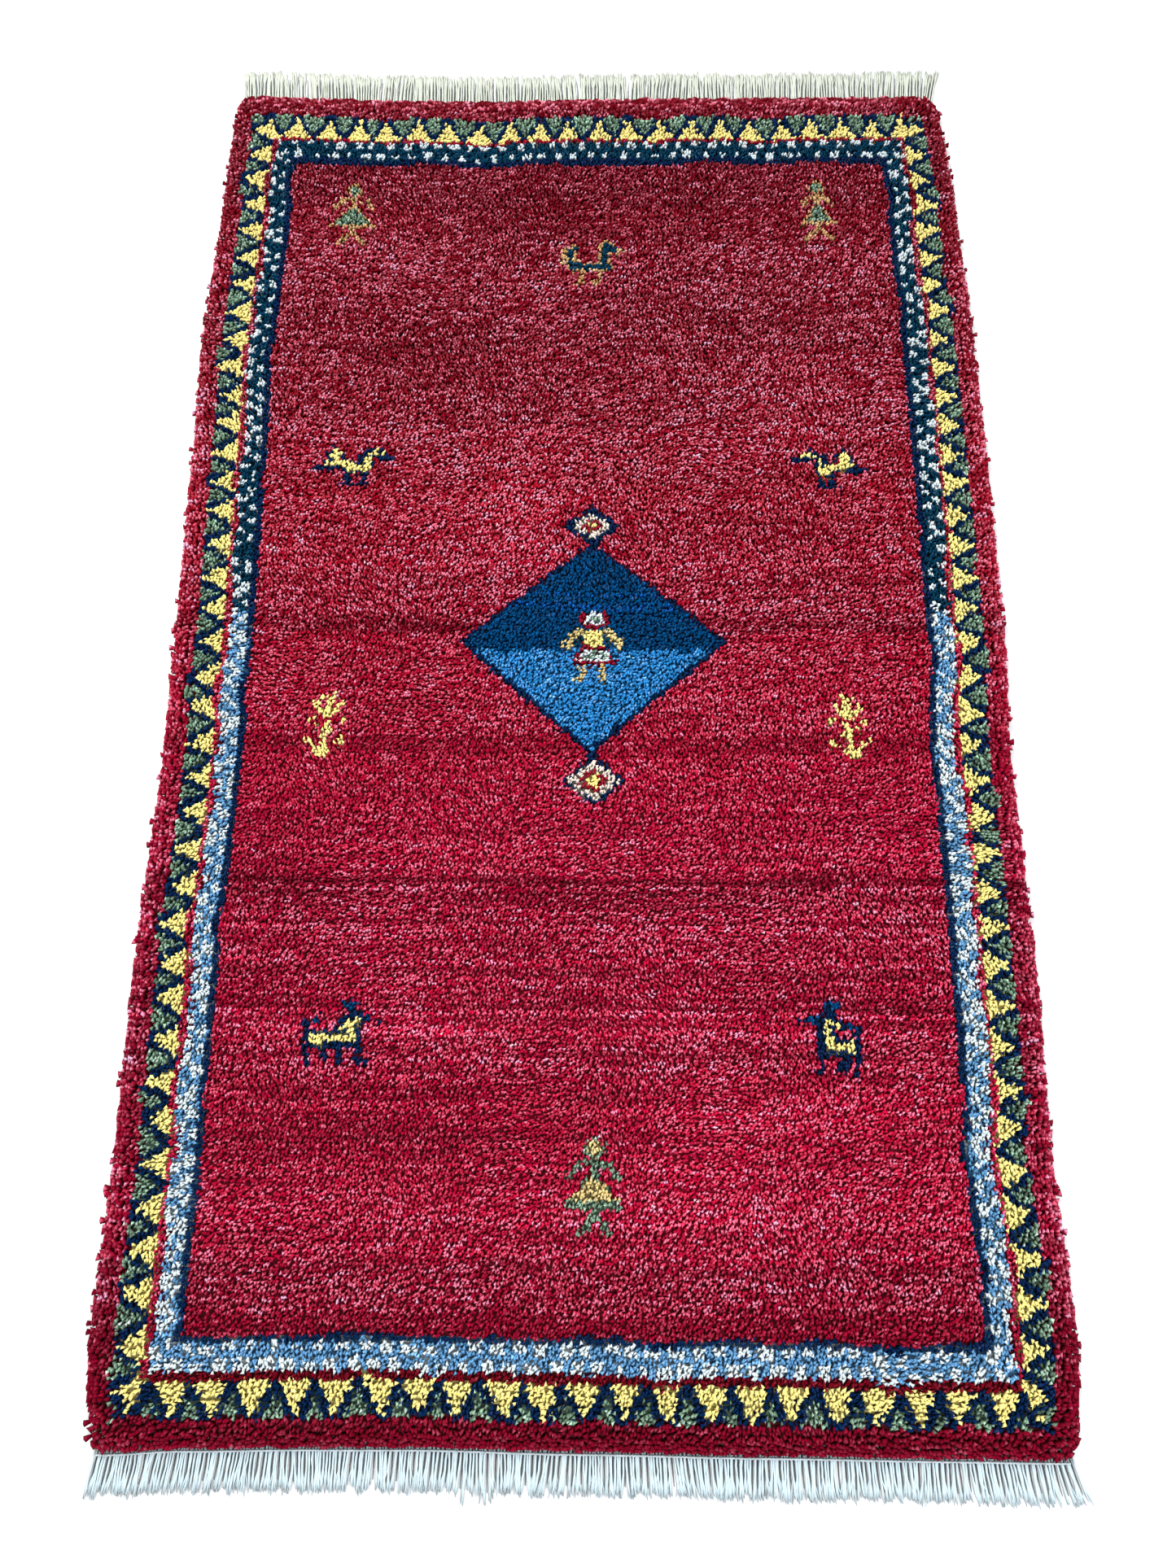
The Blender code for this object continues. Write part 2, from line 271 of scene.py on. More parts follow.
class Chart:
    """A grid of knots, near row first, holding a yarn number for each."""

    def __init__(self, columns, rows):
        self.cells = np.full((rows, columns), -1, int)
        rows_at, columns_at = np.mgrid[0:rows, 0:columns]
        self.x = columns_at + 0.5
        self.y = rows_at + 0.5

    def paint(self, yarn, where):
        self.cells[where] = YARN_NAMES.index(yarn)

    def bar(self, yarn, start, end, width):
        """A thick straight line between two points."""
        along = np.subtract(end, start)
        length_squared = max(float(along @ along), 1e-9)
        step = ((self.x - start[0]) * along[0] + (self.y - start[1]) * along[1]) / length_squared
        step = np.clip(step, 0.0, 1.0)
        away = np.hypot(self.x - start[0] - step * along[0], self.y - start[1] - step * along[1])
        self.paint(yarn, away <= width / 2)

    def wedge(self, yarn, top, base_y, half_width):
        """An upright triangle from its top point to a level base."""
        share = (top[1] - self.y) / (top[1] - base_y)
        inside = (share >= 0) & (share <= 1) & (np.abs(self.x - top[0]) <= half_width * share + 0.45)
        self.paint(yarn, inside)

    def lozenge(self, yarn, centre, half_width, half_height):
        """A diamond on its point."""
        away = np.abs(self.x - centre[0]) / half_width + np.abs(self.y - centre[1]) / half_height
        self.paint(yarn, away <= 1.0)

    def outline(self, yarn):
        """One knot of another yarn round everything drawn so far."""
        drawn = self.cells >= 0
        grown = drawn.copy()
        grown[1:] |= drawn[:-1]
        grown[:-1] |= drawn[1:]
        grown[:, 1:] |= drawn[:, :-1]
        grown[:, :-1] |= drawn[:, 1:]
        self.paint(yarn, grown & ~drawn)

    def stamp(self, motif, centre, mirrored=False):
        """Copy a motif's drawn knots, centred on a knot of this chart."""
        cells = motif.cells[:, ::-1] if mirrored else motif.cells
        low = [round(centre[1] - cells.shape[0] / 2), round(centre[0] - cells.shape[1] / 2)]
        target = self.cells[low[0]:low[0] + cells.shape[0], low[1]:low[1] + cells.shape[1]]
        target[cells >= 0] = cells[cells >= 0]


def skirted_figure(fill, edge, hem_rows, skirt_half_width, head_half_width):
    """A small standing figure with a lozenge head, bent arms, a wide skirt and two legs."""
    motif = Chart(22, 28)
    motif.wedge(edge, (11, 17), 8, skirt_half_width)
    motif.wedge(fill, (11, 16), 8 + hem_rows, skirt_half_width - 1.8)
    motif.bar(edge, (11, 16), (11, 20), 1.4)
    motif.lozenge(edge, (11, 23.0), head_half_width, 3.3)
    motif.lozenge(fill, (11, 23.0), head_half_width - 1.1, 2.3)
    reach = 0.84 * skirt_half_width
    for side in (-1, 1):
        motif.bar(edge, (11, 19.4), (11 + side * 0.6 * reach, 18.8), 1.2)
        motif.bar(edge, (11 + side * 0.6 * reach, 18.8), (11 + side * reach, 16.0), 1.7)
        motif.bar(edge, (11, 8), (11 + side * 1.5, 4.4), 1.2)
        motif.bar(edge, (11 + side * 1.5, 4.4), (11 + side * 4.6, 1.4), 1.6)
    return motif


def perched_bird():
    """A bird with a raised tail, an upright neck and two thin legs, edged all round."""
    motif = Chart(26, 26)
    motif.bar("petrol", (7.0, 11.5), (17.5, 11.0), 2.3)
    motif.bar("petrol", (6.0, 12.5), (5.6, 16.5), 1.9)
    motif.bar("petrol", (5.8, 17.5), (7.0, 18.5), 1.4)
    motif.bar("petrol", (17.0, 11.5), (17.0, 17.5), 2.2)
    motif.bar("petrol", (17.2, 18.6), (19.6, 18.2), 2.7)
    motif.bar("petrol", (19.6, 18.0), (21.0, 17.6), 1.6)
    motif.bar("petrol", (17.8, 19.5), (18.0, 21.0), 1.3)
    motif.outline("gold")
    motif.bar("gold", (3.4, 13.0), (3.6, 17.0), 1.3)
    motif.bar("gold", (22.4, 17.4), (23.4, 17.6), 1.2)
    for foot in (10.0, 15.6):
        motif.bar("gold", (foot, 9.4), (foot, 6.0), 1.1)
        motif.bar("gold", (foot - 1.8, 4.8), (foot, 5.6), 1.6)
    return motif


def winged_bird(neck_x):
    """A yellow bird facing right with a lifted wing, a curved neck and a wedge tail, edged in navy."""
    motif = Chart(30, 24)
    motif.bar("yellow", (9.0, 15.2), (9.6, 12.8), 3.6)
    motif.bar("yellow", (10.0, 12.8), (13.5, 10.8), 2.7)
    motif.bar("yellow", (13.0, 10.4), (neck_x - 0.2, 9.8), 2.0)
    motif.bar("yellow", (6.2, 11.8), (7.2, 11.8), 1.4)
    motif.bar("yellow", (neck_x + 0.2, 10.2), (neck_x, 14.6), 1.3)
    motif.bar("yellow", (neck_x + 0.8, 15.8), (neck_x + 3.0, 16.0), 1.1)
    motif.bar("yellow", (neck_x + 3.4, 15.8), (neck_x + 5.0, 15.0), 1.0)
    motif.bar("madder", (10.6, 13.2), (11.6, 12.4), 1.2)
    motif.outline("navy")
    motif.bar("navy", (3.2, 10.4), (8.0, 9.8), 1.7)
    motif.bar("navy", (neck_x - 2.0, 13.0), (neck_x - 1.4, 15.6), 1.6)
    motif.bar("navy", (neck_x + 4.6, 13.8), (neck_x + 7.4, 13.8), 2.0)
    for foot in (13.0, neck_x - 0.2):
        motif.bar("navy", (foot, 8.2), (foot - 0.2, 5.0), 1.6)
        motif.bar("navy", (foot - 2.2, 4.4), (foot + 0.8, 4.6), 1.7)
    return motif


def horned_goat(chest, head):
    """A goat facing right with a yellow body, a neck at its chest, a curled tail and swept horns."""
    motif = Chart(26, 28)
    motif.bar("yellow", (5.6, 11.6), (chest, 12.0), 2.4)
    motif.bar("yellow", (chest + 0.4, 12.2), (chest + 0.8, head - 0.6), 2.1)
    motif.bar("yellow", (chest - 2.0, head - 2.0), (chest - 0.4, head - 1.4), 1.3)
    motif.bar("yellow", (chest + 1.8, head), (chest + 2.8, head), 1.1)
    motif.outline("navy")
    motif.bar("navy", (4.4, 9.6), (chest + 2.6, 9.8), 1.6)
    motif.bar("navy", (chest + 3.0, 10.0), (chest + 2.8, head - 1.6), 1.8)
    motif.bar("navy", (4.0, 12.0), (3.8, 15.6), 2.2)
    motif.bar("deep_blue", (4.4, 16.4), (6.6, 16.8), 1.6)
    motif.bar("navy", (chest - 1.4, head + 0.2), (chest + 2.4, head + 1.2), 2.0)
    motif.bar("navy", (chest + 4.0, head - 0.6), (chest + 8.2, head - 0.8), 1.5)
    motif.bar("deep_blue", (chest + 4.0, head + 0.2), (chest + 5.0, head), 1.8)
    motif.bar("deep_blue", (chest - 1.6, head + 3.8), (chest + 0.6, head + 3.4), 2.6)
    motif.bar("navy", (chest + 1.0, head + 2.8), (chest + 1.6, head + 1.6), 1.5)
    for leg, reach in ((4.2, 4.6), (0.29 * chest + 3.9, 6.4), (chest - 2.6, 6.0), (chest + 2.2, 6.2)):
        motif.bar("navy", (leg, 9.4), (leg + 0.4, reach), 1.8)
    motif.bar("navy", (5.0, 4.4), (5.6, 4.2), 1.3)
    motif.bar("navy", (chest + 4.0, 5.6), (chest + 4.6, 5.6), 1.3)
    return motif


def sprig():
    """A small yellow plant: a broken stem between pairs of lifted arms."""
    motif = Chart(18, 24)
    motif.bar("yellow", (7.4, 3.6), (9.0, 4.0), 3.4)
    motif.bar("yellow", (9.4, 5.0), (9.2, 8.6), 2.0)
    motif.bar("yellow", (8.4, 9.8), (10.8, 9.8), 1.7)
    motif.bar("yellow", (9.6, 10.6), (9.8, 12.4), 2.0)
    motif.bar("yellow", (8.0, 15.8), (11.6, 15.8), 1.6)
    motif.bar("yellow", (9.0, 14.6), (10.4, 14.6), 1.7)
    motif.bar("yellow", (9.8, 16.0), (9.8, 20.0), 1.8)
    motif.bar("yellow", (7.4, 20.6), (9.4, 20.0), 1.3)
    motif.bar("yellow", (10.6, 20.0), (11.8, 21.4), 1.4)
    motif.bar("yellow", (5.6, 18.6), (7.4, 16.4), 1.6)
    motif.bar("yellow", (12.0, 16.6), (14.0, 18.8), 1.0)
    motif.bar("yellow", (4.4, 13.0), (5.0, 13.4), 1.3)
    motif.bar("yellow", (14.0, 13.2), (14.6, 13.0), 1.2)
    motif.bar("yellow", (6.2, 11.6), (6.4, 11.4), 1.2)
    motif.bar("yellow", (4.0, 7.6), (6.4, 4.8), 1.4)
    motif.bar("yellow", (12.8, 6.4), (14.4, 7.4), 1.7)
    return motif


def eyed_lozenge(half_width, half_height, white_share):
    """A white diamond edged in navy round a thin red ring with a yellow middle."""
    motif = Chart(24, 24)
    centre = (12, 12)
    motif.lozenge("navy", centre, half_width, half_height)
    for yarn, share in (("ivory", 1.0), ("madder", 0.60), ("yellow", 0.36)):
        motif.lozenge(yarn, centre, half_width * white_share * share, half_height * white_share * share)
    return motif


def robed_figure():
    """The figure inside the medallion: ringed head, yellow body, cream arms and legs, ringed skirt."""
    motif = Chart(24, 30)
    motif.wedge("madder", (12.4, 19.8), 8.6, 6.9)
    motif.wedge("white", (12.4, 18.2), 10.4, 5.0)
    motif.bar("green", (9.4, 11.2), (12.0, 11.8), 1.3)
    motif.bar("green", (12.6, 13.0), (15.2, 11.4), 1.2)
    motif.bar("madder", (10.4, 14.2), (14.6, 14.2), 1.2)
    for low in (16.6, 18.8):
        motif.bar("yellow", (10.8, low), (13.8, low), 3.2)
    for side in (-1, 1):
        motif.bar("petrol", (12.2 + side * 3.4, 17.8), (12.2 + side * 4.6, 15.2), 1.5)
        motif.bar("cream", (12.2 + side * 4.2, 19.6), (12.2 + side * 7.8, 15.4), 2.5)
        motif.bar("cream", (12.0 + side * 3.1, 8.0), (12.0 + side * 3.1, 5.0), 2.0)
    motif.bar("cream", (7.0, 4.6), (8.8, 4.6), 1.3)
    motif.bar("madder", (11.2, 20.9), (13.2, 20.9), 1.5)
    motif.bar("madder", (10.4, 23.8), (14.6, 23.8), 5.0)
    motif.bar("white", (11.4, 23.8), (13.6, 23.8), 3.8)
    motif.bar("green", (11.2, 24.4), (13.0, 23.2), 1.2)
    return motif


# Each border's stripes in knots from the edge inward, and where its teeth stand along it
Border = namedtuple("Border", "outer teeth line band guard first repeat half_base outline hollow red_line")
SIDE_BORDER = Border(5.0, 6.9, 1.5, 5.7, 1.8, 11.4, 10.62, 3.7, 2.4, 1.1, "field")
NEAR_BORDER = Border(5.1, 7.9, 1.9, 7.1, 1.4, 7.7, 10.26, 3.6, 2.7, 0.9, "wine")
FAR_BORDER = Border(6.4, 8.8, 1.0, 7.2, 2.2, 10.2, 10.375, 4.0, 2.1, 1.5, "madder")
CHECK_REPEAT = 5.5
BAND_CHANGE = 0.049


def paint_borders(chart):
    """Outer red, yellow teeth on green, a thin red line, the checked band and the navy guard."""
    rows, columns = chart.cells.shape
    sides = (
        (chart.x + 0.45 * slow_wave(chart.y, (37.0, 61.0, 23.0), 31), SIDE_BORDER, chart.y),
        (columns - chart.x + 0.45 * slow_wave(chart.y, (41.0, 57.0, 21.0), 32), SIDE_BORDER, chart.y),
        (chart.y + 0.4 * slow_wave(chart.x, (29.0, 53.0), 33), NEAR_BORDER, chart.x),
        (rows - chart.y + 0.4 * slow_wave(chart.x, (31.0, 47.0), 34), FAR_BORDER, chart.x),
    )
    shares = np.stack([depth / sum(border[:5]) for depth, border, _ in sides])
    nearest = shares.argmin(0)
    for number, (depth, border, position) in enumerate(sides):
        mine = (nearest == number) & (shares[number] < 1.0)
        paint_side(chart, mine, depth, border, position, np.random.default_rng(60 + number))


def paint_side(chart, mine, depth, border, position, draws):
    """One side's stripes, where depth is the distance in knots from the rug's edge."""
    outer, teeth_end, line_end, band_end, guard_end = np.cumsum(border[:5])
    chart.paint("edge_red", mine & (depth < outer))
    chart.paint("green", mine & (depth >= outer) & (depth < teeth_end))
    paint_teeth(chart, mine & (depth >= outer) & (depth < teeth_end), teeth_end - depth, border, position, draws)
    chart.paint(border.red_line, mine & (depth >= teeth_end) & (depth < line_end))
    band = mine & (depth >= line_end) & (depth < band_end)
    near_half = PILE_NEAR + chart.y * KNOT_PITCH < BAND_CHANGE
    chart.paint("light_blue", band & near_half)
    chart.paint("petrol", band & ~near_half)
    paint_checks(chart, band, depth - line_end, border.band, position, near_half, draws)
    chart.paint("navy", mine & (depth >= band_end) & (depth < guard_end))


def paint_teeth(chart, where, height, border, position, draws):
    """Yellow teeth with a navy zigzag round them, no two quite alike."""
    tall = border.teeth - 1.0
    number = np.round((position - border.first) / border.repeat).astype(int) + 1
    wander = draws.uniform(-0.5, 0.5, number.max() + 1)
    half_base = border.half_base + draws.uniform(-0.4, 0.4, number.max() + 1)
    skew = draws.uniform(-0.8, 0.8, number.max() + 1)
    height_of = tall + draws.uniform(-0.9, 0.5, number.max() + 1)
    step = np.floor(height) / height_of[number]
    middle = border.first + (number - 1) * border.repeat + wander[number] + skew[number] * step
    from_middle = np.abs(position - middle)
    reach = half_base[number] * np.clip(1.0 - step, 0.0, 1.0) ** border.hollow
    chart.paint("navy", where & (from_middle < reach + border.outline) & (step < 1.35))
    chart.paint("yellow", where & (from_middle < reach + 0.3) & (step < 1.0))


def paint_checks(chart, band, into, width, position, near_half, draws):
    """Two alternating lines of white checks along the band, larger on the near half."""
    for line, shift in ((0.0, 0.0), (1.0, 0.5)):
        number = np.floor(position / CHECK_REPEAT + shift).astype(int)
        count = number.max() + 1
        middle = (number + 0.5 - shift) * CHECK_REPEAT + draws.uniform(-0.6, 0.6, count)[number]
        half_length = np.where(near_half, 1.5, 1.15) + draws.uniform(-0.35, 0.5, count)[number]
        reach = np.where(near_half, 2.5, 2.3) + draws.uniform(-0.5, 0.7, count)[number]
        from_line = np.abs(into - line * width)
        clear = np.where(line > 0, 0.3, 0.0)
        chart.paint("white", band & (np.abs(position - middle) < half_length) & (from_line < reach)
                    & (from_line > clear))


# Where each motif stands, in metres on the rug
MEDALLION = (0.0055, 0.012)
MEDALLION_HALF_WIDTH = 0.1455
MEDALLION_NEAR_REACH = 0.132
MEDALLION_FAR_REACH = 0.123
MEDALLION_SPLIT = 0.002
MotifPlace = namedtuple("MotifPlace", "x y mirrored")
FAR_FIGURES = (MotifPlace(-0.297, 0.599, False), MotifPlace(0.287, 0.602, True))
NEAR_FIGURE = MotifPlace(0.009, -0.564, False)
FAR_BIRD = MotifPlace(0.004, 0.522, False)
WINGED_BIRDS = (MotifPlace(-0.272, 0.239, False), MotifPlace(0.2745, 0.234, True))
SPRIGS = (MotifPlace(-0.283, -0.085, False), MotifPlace(0.288, -0.087, True))
GOATS = (MotifPlace(-0.245, -0.416, False), MotifPlace(0.242, -0.420, True))
ROBED_FIGURE = MotifPlace(0.006, 0.008, False)
FAR_EYE = MotifPlace(0.006, 0.157, False)
NEAR_EYE = MotifPlace(0.0075, -0.149, False)


def knot_at(x, y):
    """The chart position, in knots, of a place on the rug."""
    along = (y - PILE_NEAR) / PILE_LENGTH
    left = read_station(SIDE_STATIONS, along, "left") + ROOT_INSET
    right = read_station(SIDE_STATIONS, along, "right") - ROOT_INSET
    return (x - left) / (right - left) * COLUMNS, along * ROWS


def paint_medallion(chart):
    """The stepped diamond, dark in its far part and blue in its near part, with an edge of navy."""
    centre_x, centre_y = knot_at(*MEDALLION)
    half_width = MEDALLION_HALF_WIDTH / KNOT_PITCH
    from_centre = chart.y - centre_y
    reach = np.where(from_centre > 0, MEDALLION_FAR_REACH, MEDALLION_NEAR_REACH) / KNOT_PITCH
    stepped = np.floor(np.abs(chart.x - centre_x) / 1.0)
    away = stepped / half_width + np.abs(from_centre) / reach
    split = knot_at(0.0, MEDALLION_SPLIT)[1] + 0.5 * slow_wave(chart.x, (9.0, 17.0), 8)
    chart.paint("navy", away <= 1.0)
    inside = away <= 1.0 - np.where(from_centre > 0, 1.6, 2.3) / half_width
    chart.paint("deep_blue", inside & (chart.y >= split))
    chart.paint("mid_blue", inside & (chart.y < split))
    for tip_reach, eye in ((MEDALLION_FAR_REACH, FAR_EYE), (-MEDALLION_NEAR_REACH, NEAR_EYE)):
        tip = knot_at(MEDALLION[0] + 0.002, MEDALLION[1] + 0.94 * tip_reach)
        chart.bar("navy", tip, knot_at(eye.x, eye.y), 3.0)
    near_tip = knot_at(MEDALLION[0] + 0.001, MEDALLION[1] - 0.96 * MEDALLION_NEAR_REACH)
    chart.bar("mid_blue", (near_tip[0], near_tip[1] + 8.0), near_tip, 1.6)


def knot_chart():
    """The whole rug's chart: field, borders, medallion and motifs."""
    chart = Chart(COLUMNS, ROWS)
    chart.paint("field", chart.cells < 0)
    paint_borders(chart)
    paint_medallion(chart)
    placed = [
        (skirted_figure("green", "gold", 1.0, 8.0, 3.8), FAR_FIGURES[:1]),
        (skirted_figure("green", "gold", 1.0, 5.6, 3.2), FAR_FIGURES[1:]),
        (skirted_figure("cream", "green", 2.4, 8.0, 4.0), (NEAR_FIGURE,)),
        (perched_bird(), (FAR_BIRD,)),
        (winged_bird(18.8), WINGED_BIRDS[:1]),
        (winged_bird(16.6), WINGED_BIRDS[1:]),
        (sprig(), SPRIGS),
        (horned_goat(15.4, 17.0), GOATS[:1]),
        (horned_goat(11.0, 19.2), GOATS[1:]),
        (robed_figure(), (ROBED_FIGURE,)),
        (eyed_lozenge(8.9, 6.9, 0.66), (FAR_EYE,)),
        (eyed_lozenge(9.8, 7.4, 0.84), (NEAR_EYE,)),
    ]
    for motif, places in placed:
        for place in places:
            chart.stamp(motif, knot_at(place.x, place.y), place.mirrored)
    return chart.cells


def tuft_yarns(cells, across, along):
    """The chart's yarn under each tuft."""
    column = np.clip((across * COLUMNS).astype(int), 0, COLUMNS - 1)
    row = np.clip((along * ROWS).astype(int), 0, ROWS - 1)
    return cells[row, column]


def brushed(x, y):
    """How much lighter than its dye band the field is painted at a place, as the shade and sheen of brushed
    pile.
    """
    lift = np.zeros(np.shape(x))
    for patch in PATCHES:
        away = ((x - patch.x) / patch.half_width) ** 2 + ((y - patch.y) / patch.half_length) ** 2
        lift += patch.lift * np.exp(-0.7 * away)
    return lift


def in_dashes(draws):
    """The same draws, some taken from the next tuft, so that painted highlights on cut ends run in short dashes.
    """
    repeated = DRAWS.random(draws.shape)[:, 1:] < DASH_SHARE
    for _ in range(2):
        draws[:, 1:] = np.where(repeated, draws[:, :-1], draws[:, 1:])
    return draws


def tuft_colours(cells, across, along, x, y):
    """Each tuft's linear colours low down and at its cut end with a painted highlight, and its painted shade low
    down.
    """
    yarn = tuft_yarns(cells, across, along)
    palette = np.array([to_linear(YARNS[name].colour) for name in YARN_NAMES])
    ring, shine, uneven = (np.array([getattr(YARNS[name], column) for name in YARN_NAMES])[yarn]
                           for column in ("ring", "shine", "uneven"))
    body = palette[yarn]
    starts = np.array([band.start for band in DYE_AND_PAINTED_LIGHT_BANDS])
    waver = 0.004 * slow_wave(x, (1.1, 0.34, 0.16), 12)
    band = np.clip(np.searchsorted(starts, y + waver) - 1, 0, len(starts) - 1)
    red, band_painted_shine, streaks = (np.array([getattr(entry, name) for entry in DYE_AND_PAINTED_LIGHT_BANDS])[band]
                                for name in ("red", "shine", "streaks"))
    edge = yarn == YARN_NAMES.index("edge_red")
    field = (yarn == YARN_NAMES.index("field")) | edge
    deep_hue = np.stack([np.ones(x.shape), np.full(x.shape, DEEP_RED_GREEN),
                         np.interp(y, (-0.20, 0.20), DEEP_RED_BLUES)], -1)
    body[field] = (to_linear(red)[..., None] * deep_hue)[field]
    shine = np.where(field, band_painted_shine, shine)
    rows = (len(x), 1)
    row_tone = DRAWS.normal(0.0, 1.0, rows)
    row_turn = DRAWS.uniform(0.0, 2.0 * math.pi, rows)
    row_length = DRAWS.uniform(0.12, 0.60, rows)
    streak = streaks * (row_tone + 0.9 * np.sin(2.0 * math.pi * x / row_length + row_turn))
    # Painted lighter and darker patches of brushed pile
    lift = brushed(x, y)
    tone = np.where(field, streak + PATCH_TONE * lift, 0.05 * row_tone)
    tone += edge * np.interp(y, (-0.35, 0.30), EDGE_RED_TONES) + DRAWS.normal(0.0, 1.0, x.shape) * uneven
    # Painted shade, darker towards the far end
    tone -= np.where(field, 0.0, FAR_DIMMING * np.clip((y - 0.1) / 0.6, 0.0, 1.0))
    deep = yarn == YARN_NAMES.index("deep_blue")
    broken = deep & (DRAWS.random(x.shape) < SKY_SHARE)
    for low, high in SKY_ROWS:
        body[broken & (y + waver > low) & (y + waver < high)] = to_linear(SKY_BLUE)
    body = body * np.exp(tone)[..., None]
    # Painted highlights, stronger along some rows and in the lighter patches, in short dashes
    shine = shine * np.exp(np.where(field, STREAK_PAINTED_SHINE * streak + PATCH_PAINTED_SHINE * lift, 0.0))
    shine = shine * in_dashes(DRAWS.gamma(0.6, 1.0 / 0.6, x.shape))
    hue = body / body.max(-1, keepdims=True)
    # Painted highlight at each cut end, in the yarn's own hue and a pale colour
    tip = body + shine[..., None] * (OWN_HUE_SHARE * hue + np.array(PAINTED_GLOSS))
    tip /= np.sqrt(np.maximum(tip.max(-1, keepdims=True), 1.0))
    return np.clip(body, 0.0, 1.0), np.clip(tip, 0.0, 1.0), ring


# Meshes from arrays

# Painted shade at each tuft's root and a painted highlight at its crown, as shares of its colour
ROOT_SHADE = 0.55
TIP_SHADE = 1.20


def mesh_from_arrays(name, points, faces, colours=None, plan=None):
    """A smooth mesh from arrays of points and triangles, with colours and a floor-plan map if given."""
    mesh = bpy.data.meshes.new(name)
    mesh.vertices.add(len(points))
    mesh.vertices.foreach_set("co", points.astype(np.float32).ravel())
    mesh.loops.add(faces.size)
    mesh.loops.foreach_set("vertex_index", faces.astype(np.int32).ravel())
    mesh.polygons.add(len(faces))
    mesh.polygons.foreach_set("loop_start", np.arange(0, faces.size, 3, dtype=np.int32))
    mesh.update(calc_edges=True)
    mesh.shade_smooth()
    if colours is not None:
        # The yarn colours hold painted shade and highlights for the tufts and strands
        layer = mesh.color_attributes.new("yarn", "FLOAT_COLOR", "POINT")
        rgba = np.ones((len(points), 4), np.float32)
        rgba[:, :3] = colours
        layer.data.foreach_set("color", rgba.ravel())
    if plan is not None:
        low, high = plan
        places = (points[faces.ravel(), :2] - low) / (high - low)
        mesh.uv_layers.new(name="OFBake").uv.foreach_set("vector", places.astype(np.float32).ravel())
    thing = bpy.data.objects.new(name, mesh)
    bpy.context.scene.collection.objects.link(thing)
    return thing


def ring_faces(sides, lower, upper):
    """Triangles between two rings, or a ring and a point, of one tuft."""
    faces = []
    for side in range(sides):
        following = (side + 1) % sides
        if len(lower) == 1:
            faces.append((lower[0], upper[following], upper[side]))
        elif len(upper) == 1:
            faces.append((upper[0], lower[side], lower[following]))
        else:
            faces.append((lower[side], lower[following], upper[following]))
            faces.append((lower[side], upper[following], upper[side]))
    return faces


Tufts = namedtuple("Tufts", "roots tips shoulders radius heading stretch turn body tip_colour ring")


def build_tufts(name, tufts, plan):
    """Closed tufts of cut wool: a narrow root, a wide uneven shoulder ring and a low crown."""
    count = len(tufts.roots)
    sides = TUFT_SIDES
    turn = tufts.turn[:, None] + 2.0 * math.pi * np.arange(sides) / sides
    spread = tufts.radius[:, None] * DRAWS.uniform(0.84, 1.18, (count, sides))
    ahead = spread * np.cos(turn) * tufts.stretch[:, None]
    aside = spread * np.sin(turn) / tufts.stretch[:, None]
    way_x, way_y = np.cos(tufts.heading)[:, None], np.sin(tufts.heading)[:, None]
    ring = np.empty((count, sides, 3))
    ring[..., 0] = tufts.shoulders[:, None, 0] + ahead * way_x - aside * way_y
    ring[..., 1] = tufts.shoulders[:, None, 1] + ahead * way_y + aside * way_x
    ring[..., 2] = tufts.shoulders[:, None, 2] + DRAWS.uniform(-0.0009, 0.0009, (count, sides))
    points = np.concatenate([tufts.roots[:, None], ring, tufts.tips[:, None]], 1).reshape(-1, 3)
    template = ring_faces(sides, [0], list(range(1, sides + 1)))
    template += ring_faces(sides, list(range(1, sides + 1)), [sides + 1])
    faces = (np.array(template)[None] + (sides + 2) * np.arange(count)[:, None, None]).reshape(-1, 3)
    # Painted shade: dark at the root, each yarn's shade share at the shoulder; painted highlight brighter at the
    # crown
    low = tufts.ring[:, None] * tufts.body
    colours = np.concatenate([ROOT_SHADE * low[:, None], np.repeat(low[:, None], sides, 1),
                              TIP_SHADE * tufts.tip_colour[:, None]], 1)
    return mesh_from_arrays(name, points, faces, np.clip(colours, 0.0, 1.0).reshape(-1, 3), plan)


def pile_height(x, y):
    """The height of the solid's uneven top over the floor plan, read on a coarse grid."""
    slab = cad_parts["pile_rug"]
    xs = np.linspace(RUG_LOW.x, RUG_HIGH.x, 96)
    ys = np.linspace(PILE_NEAR - 0.004, PILE_FAR + 0.006, 160)
    grid = np.full((len(ys), len(xs)), RUG_HIGH.z - 0.0016)
    for row, py in enumerate(ys):
        for column, px in enumerate(xs):
            hit, place, normal, _ = slab.ray_cast(Vector((px, py, RUG_HIGH.z + 0.01)), Vector((0, 0, -1)))
            if hit and normal.z > 0.8:
                grid[row, column] = place.z
    at_column = (x - xs[0]) / (xs[1] - xs[0])
    at_row = (y - ys[0]) / (ys[1] - ys[0])
    column, row = at_column.astype(int), at_row.astype(int)
    right, up = at_column - column, at_row - row
    low = grid[row, column] * (1 - right) + grid[row, column + 1] * right
    high = grid[row + 1, column] * (1 - right) + grid[row + 1, column + 1] * right
    return low * (1 - up) + high * up


def rim_lean(index, count):
    """How much a tuft near the rim leans outward: up to 1 at the edge, 0 further in, signed."""
    from_low = np.clip(1.0 - index / RIM_TUFTS, 0.0, 1.0)
    from_high = np.clip(1.0 - (count - 1 - index) / RIM_TUFTS, 0.0, 1.0)
    return from_high - from_low


def stray_locks(index, count, shape):
    """Extra reach of the few outermost tufts that stick out of the rug's edge."""
    outermost = (index == 0) | (index == count - 1)
    stray = DRAWS.random(shape) < STRAY_SHARE
    return np.where(outermost & stray, STRAY_LOCK * DRAWS.uniform(0.3, 1.0, shape), 0.0)


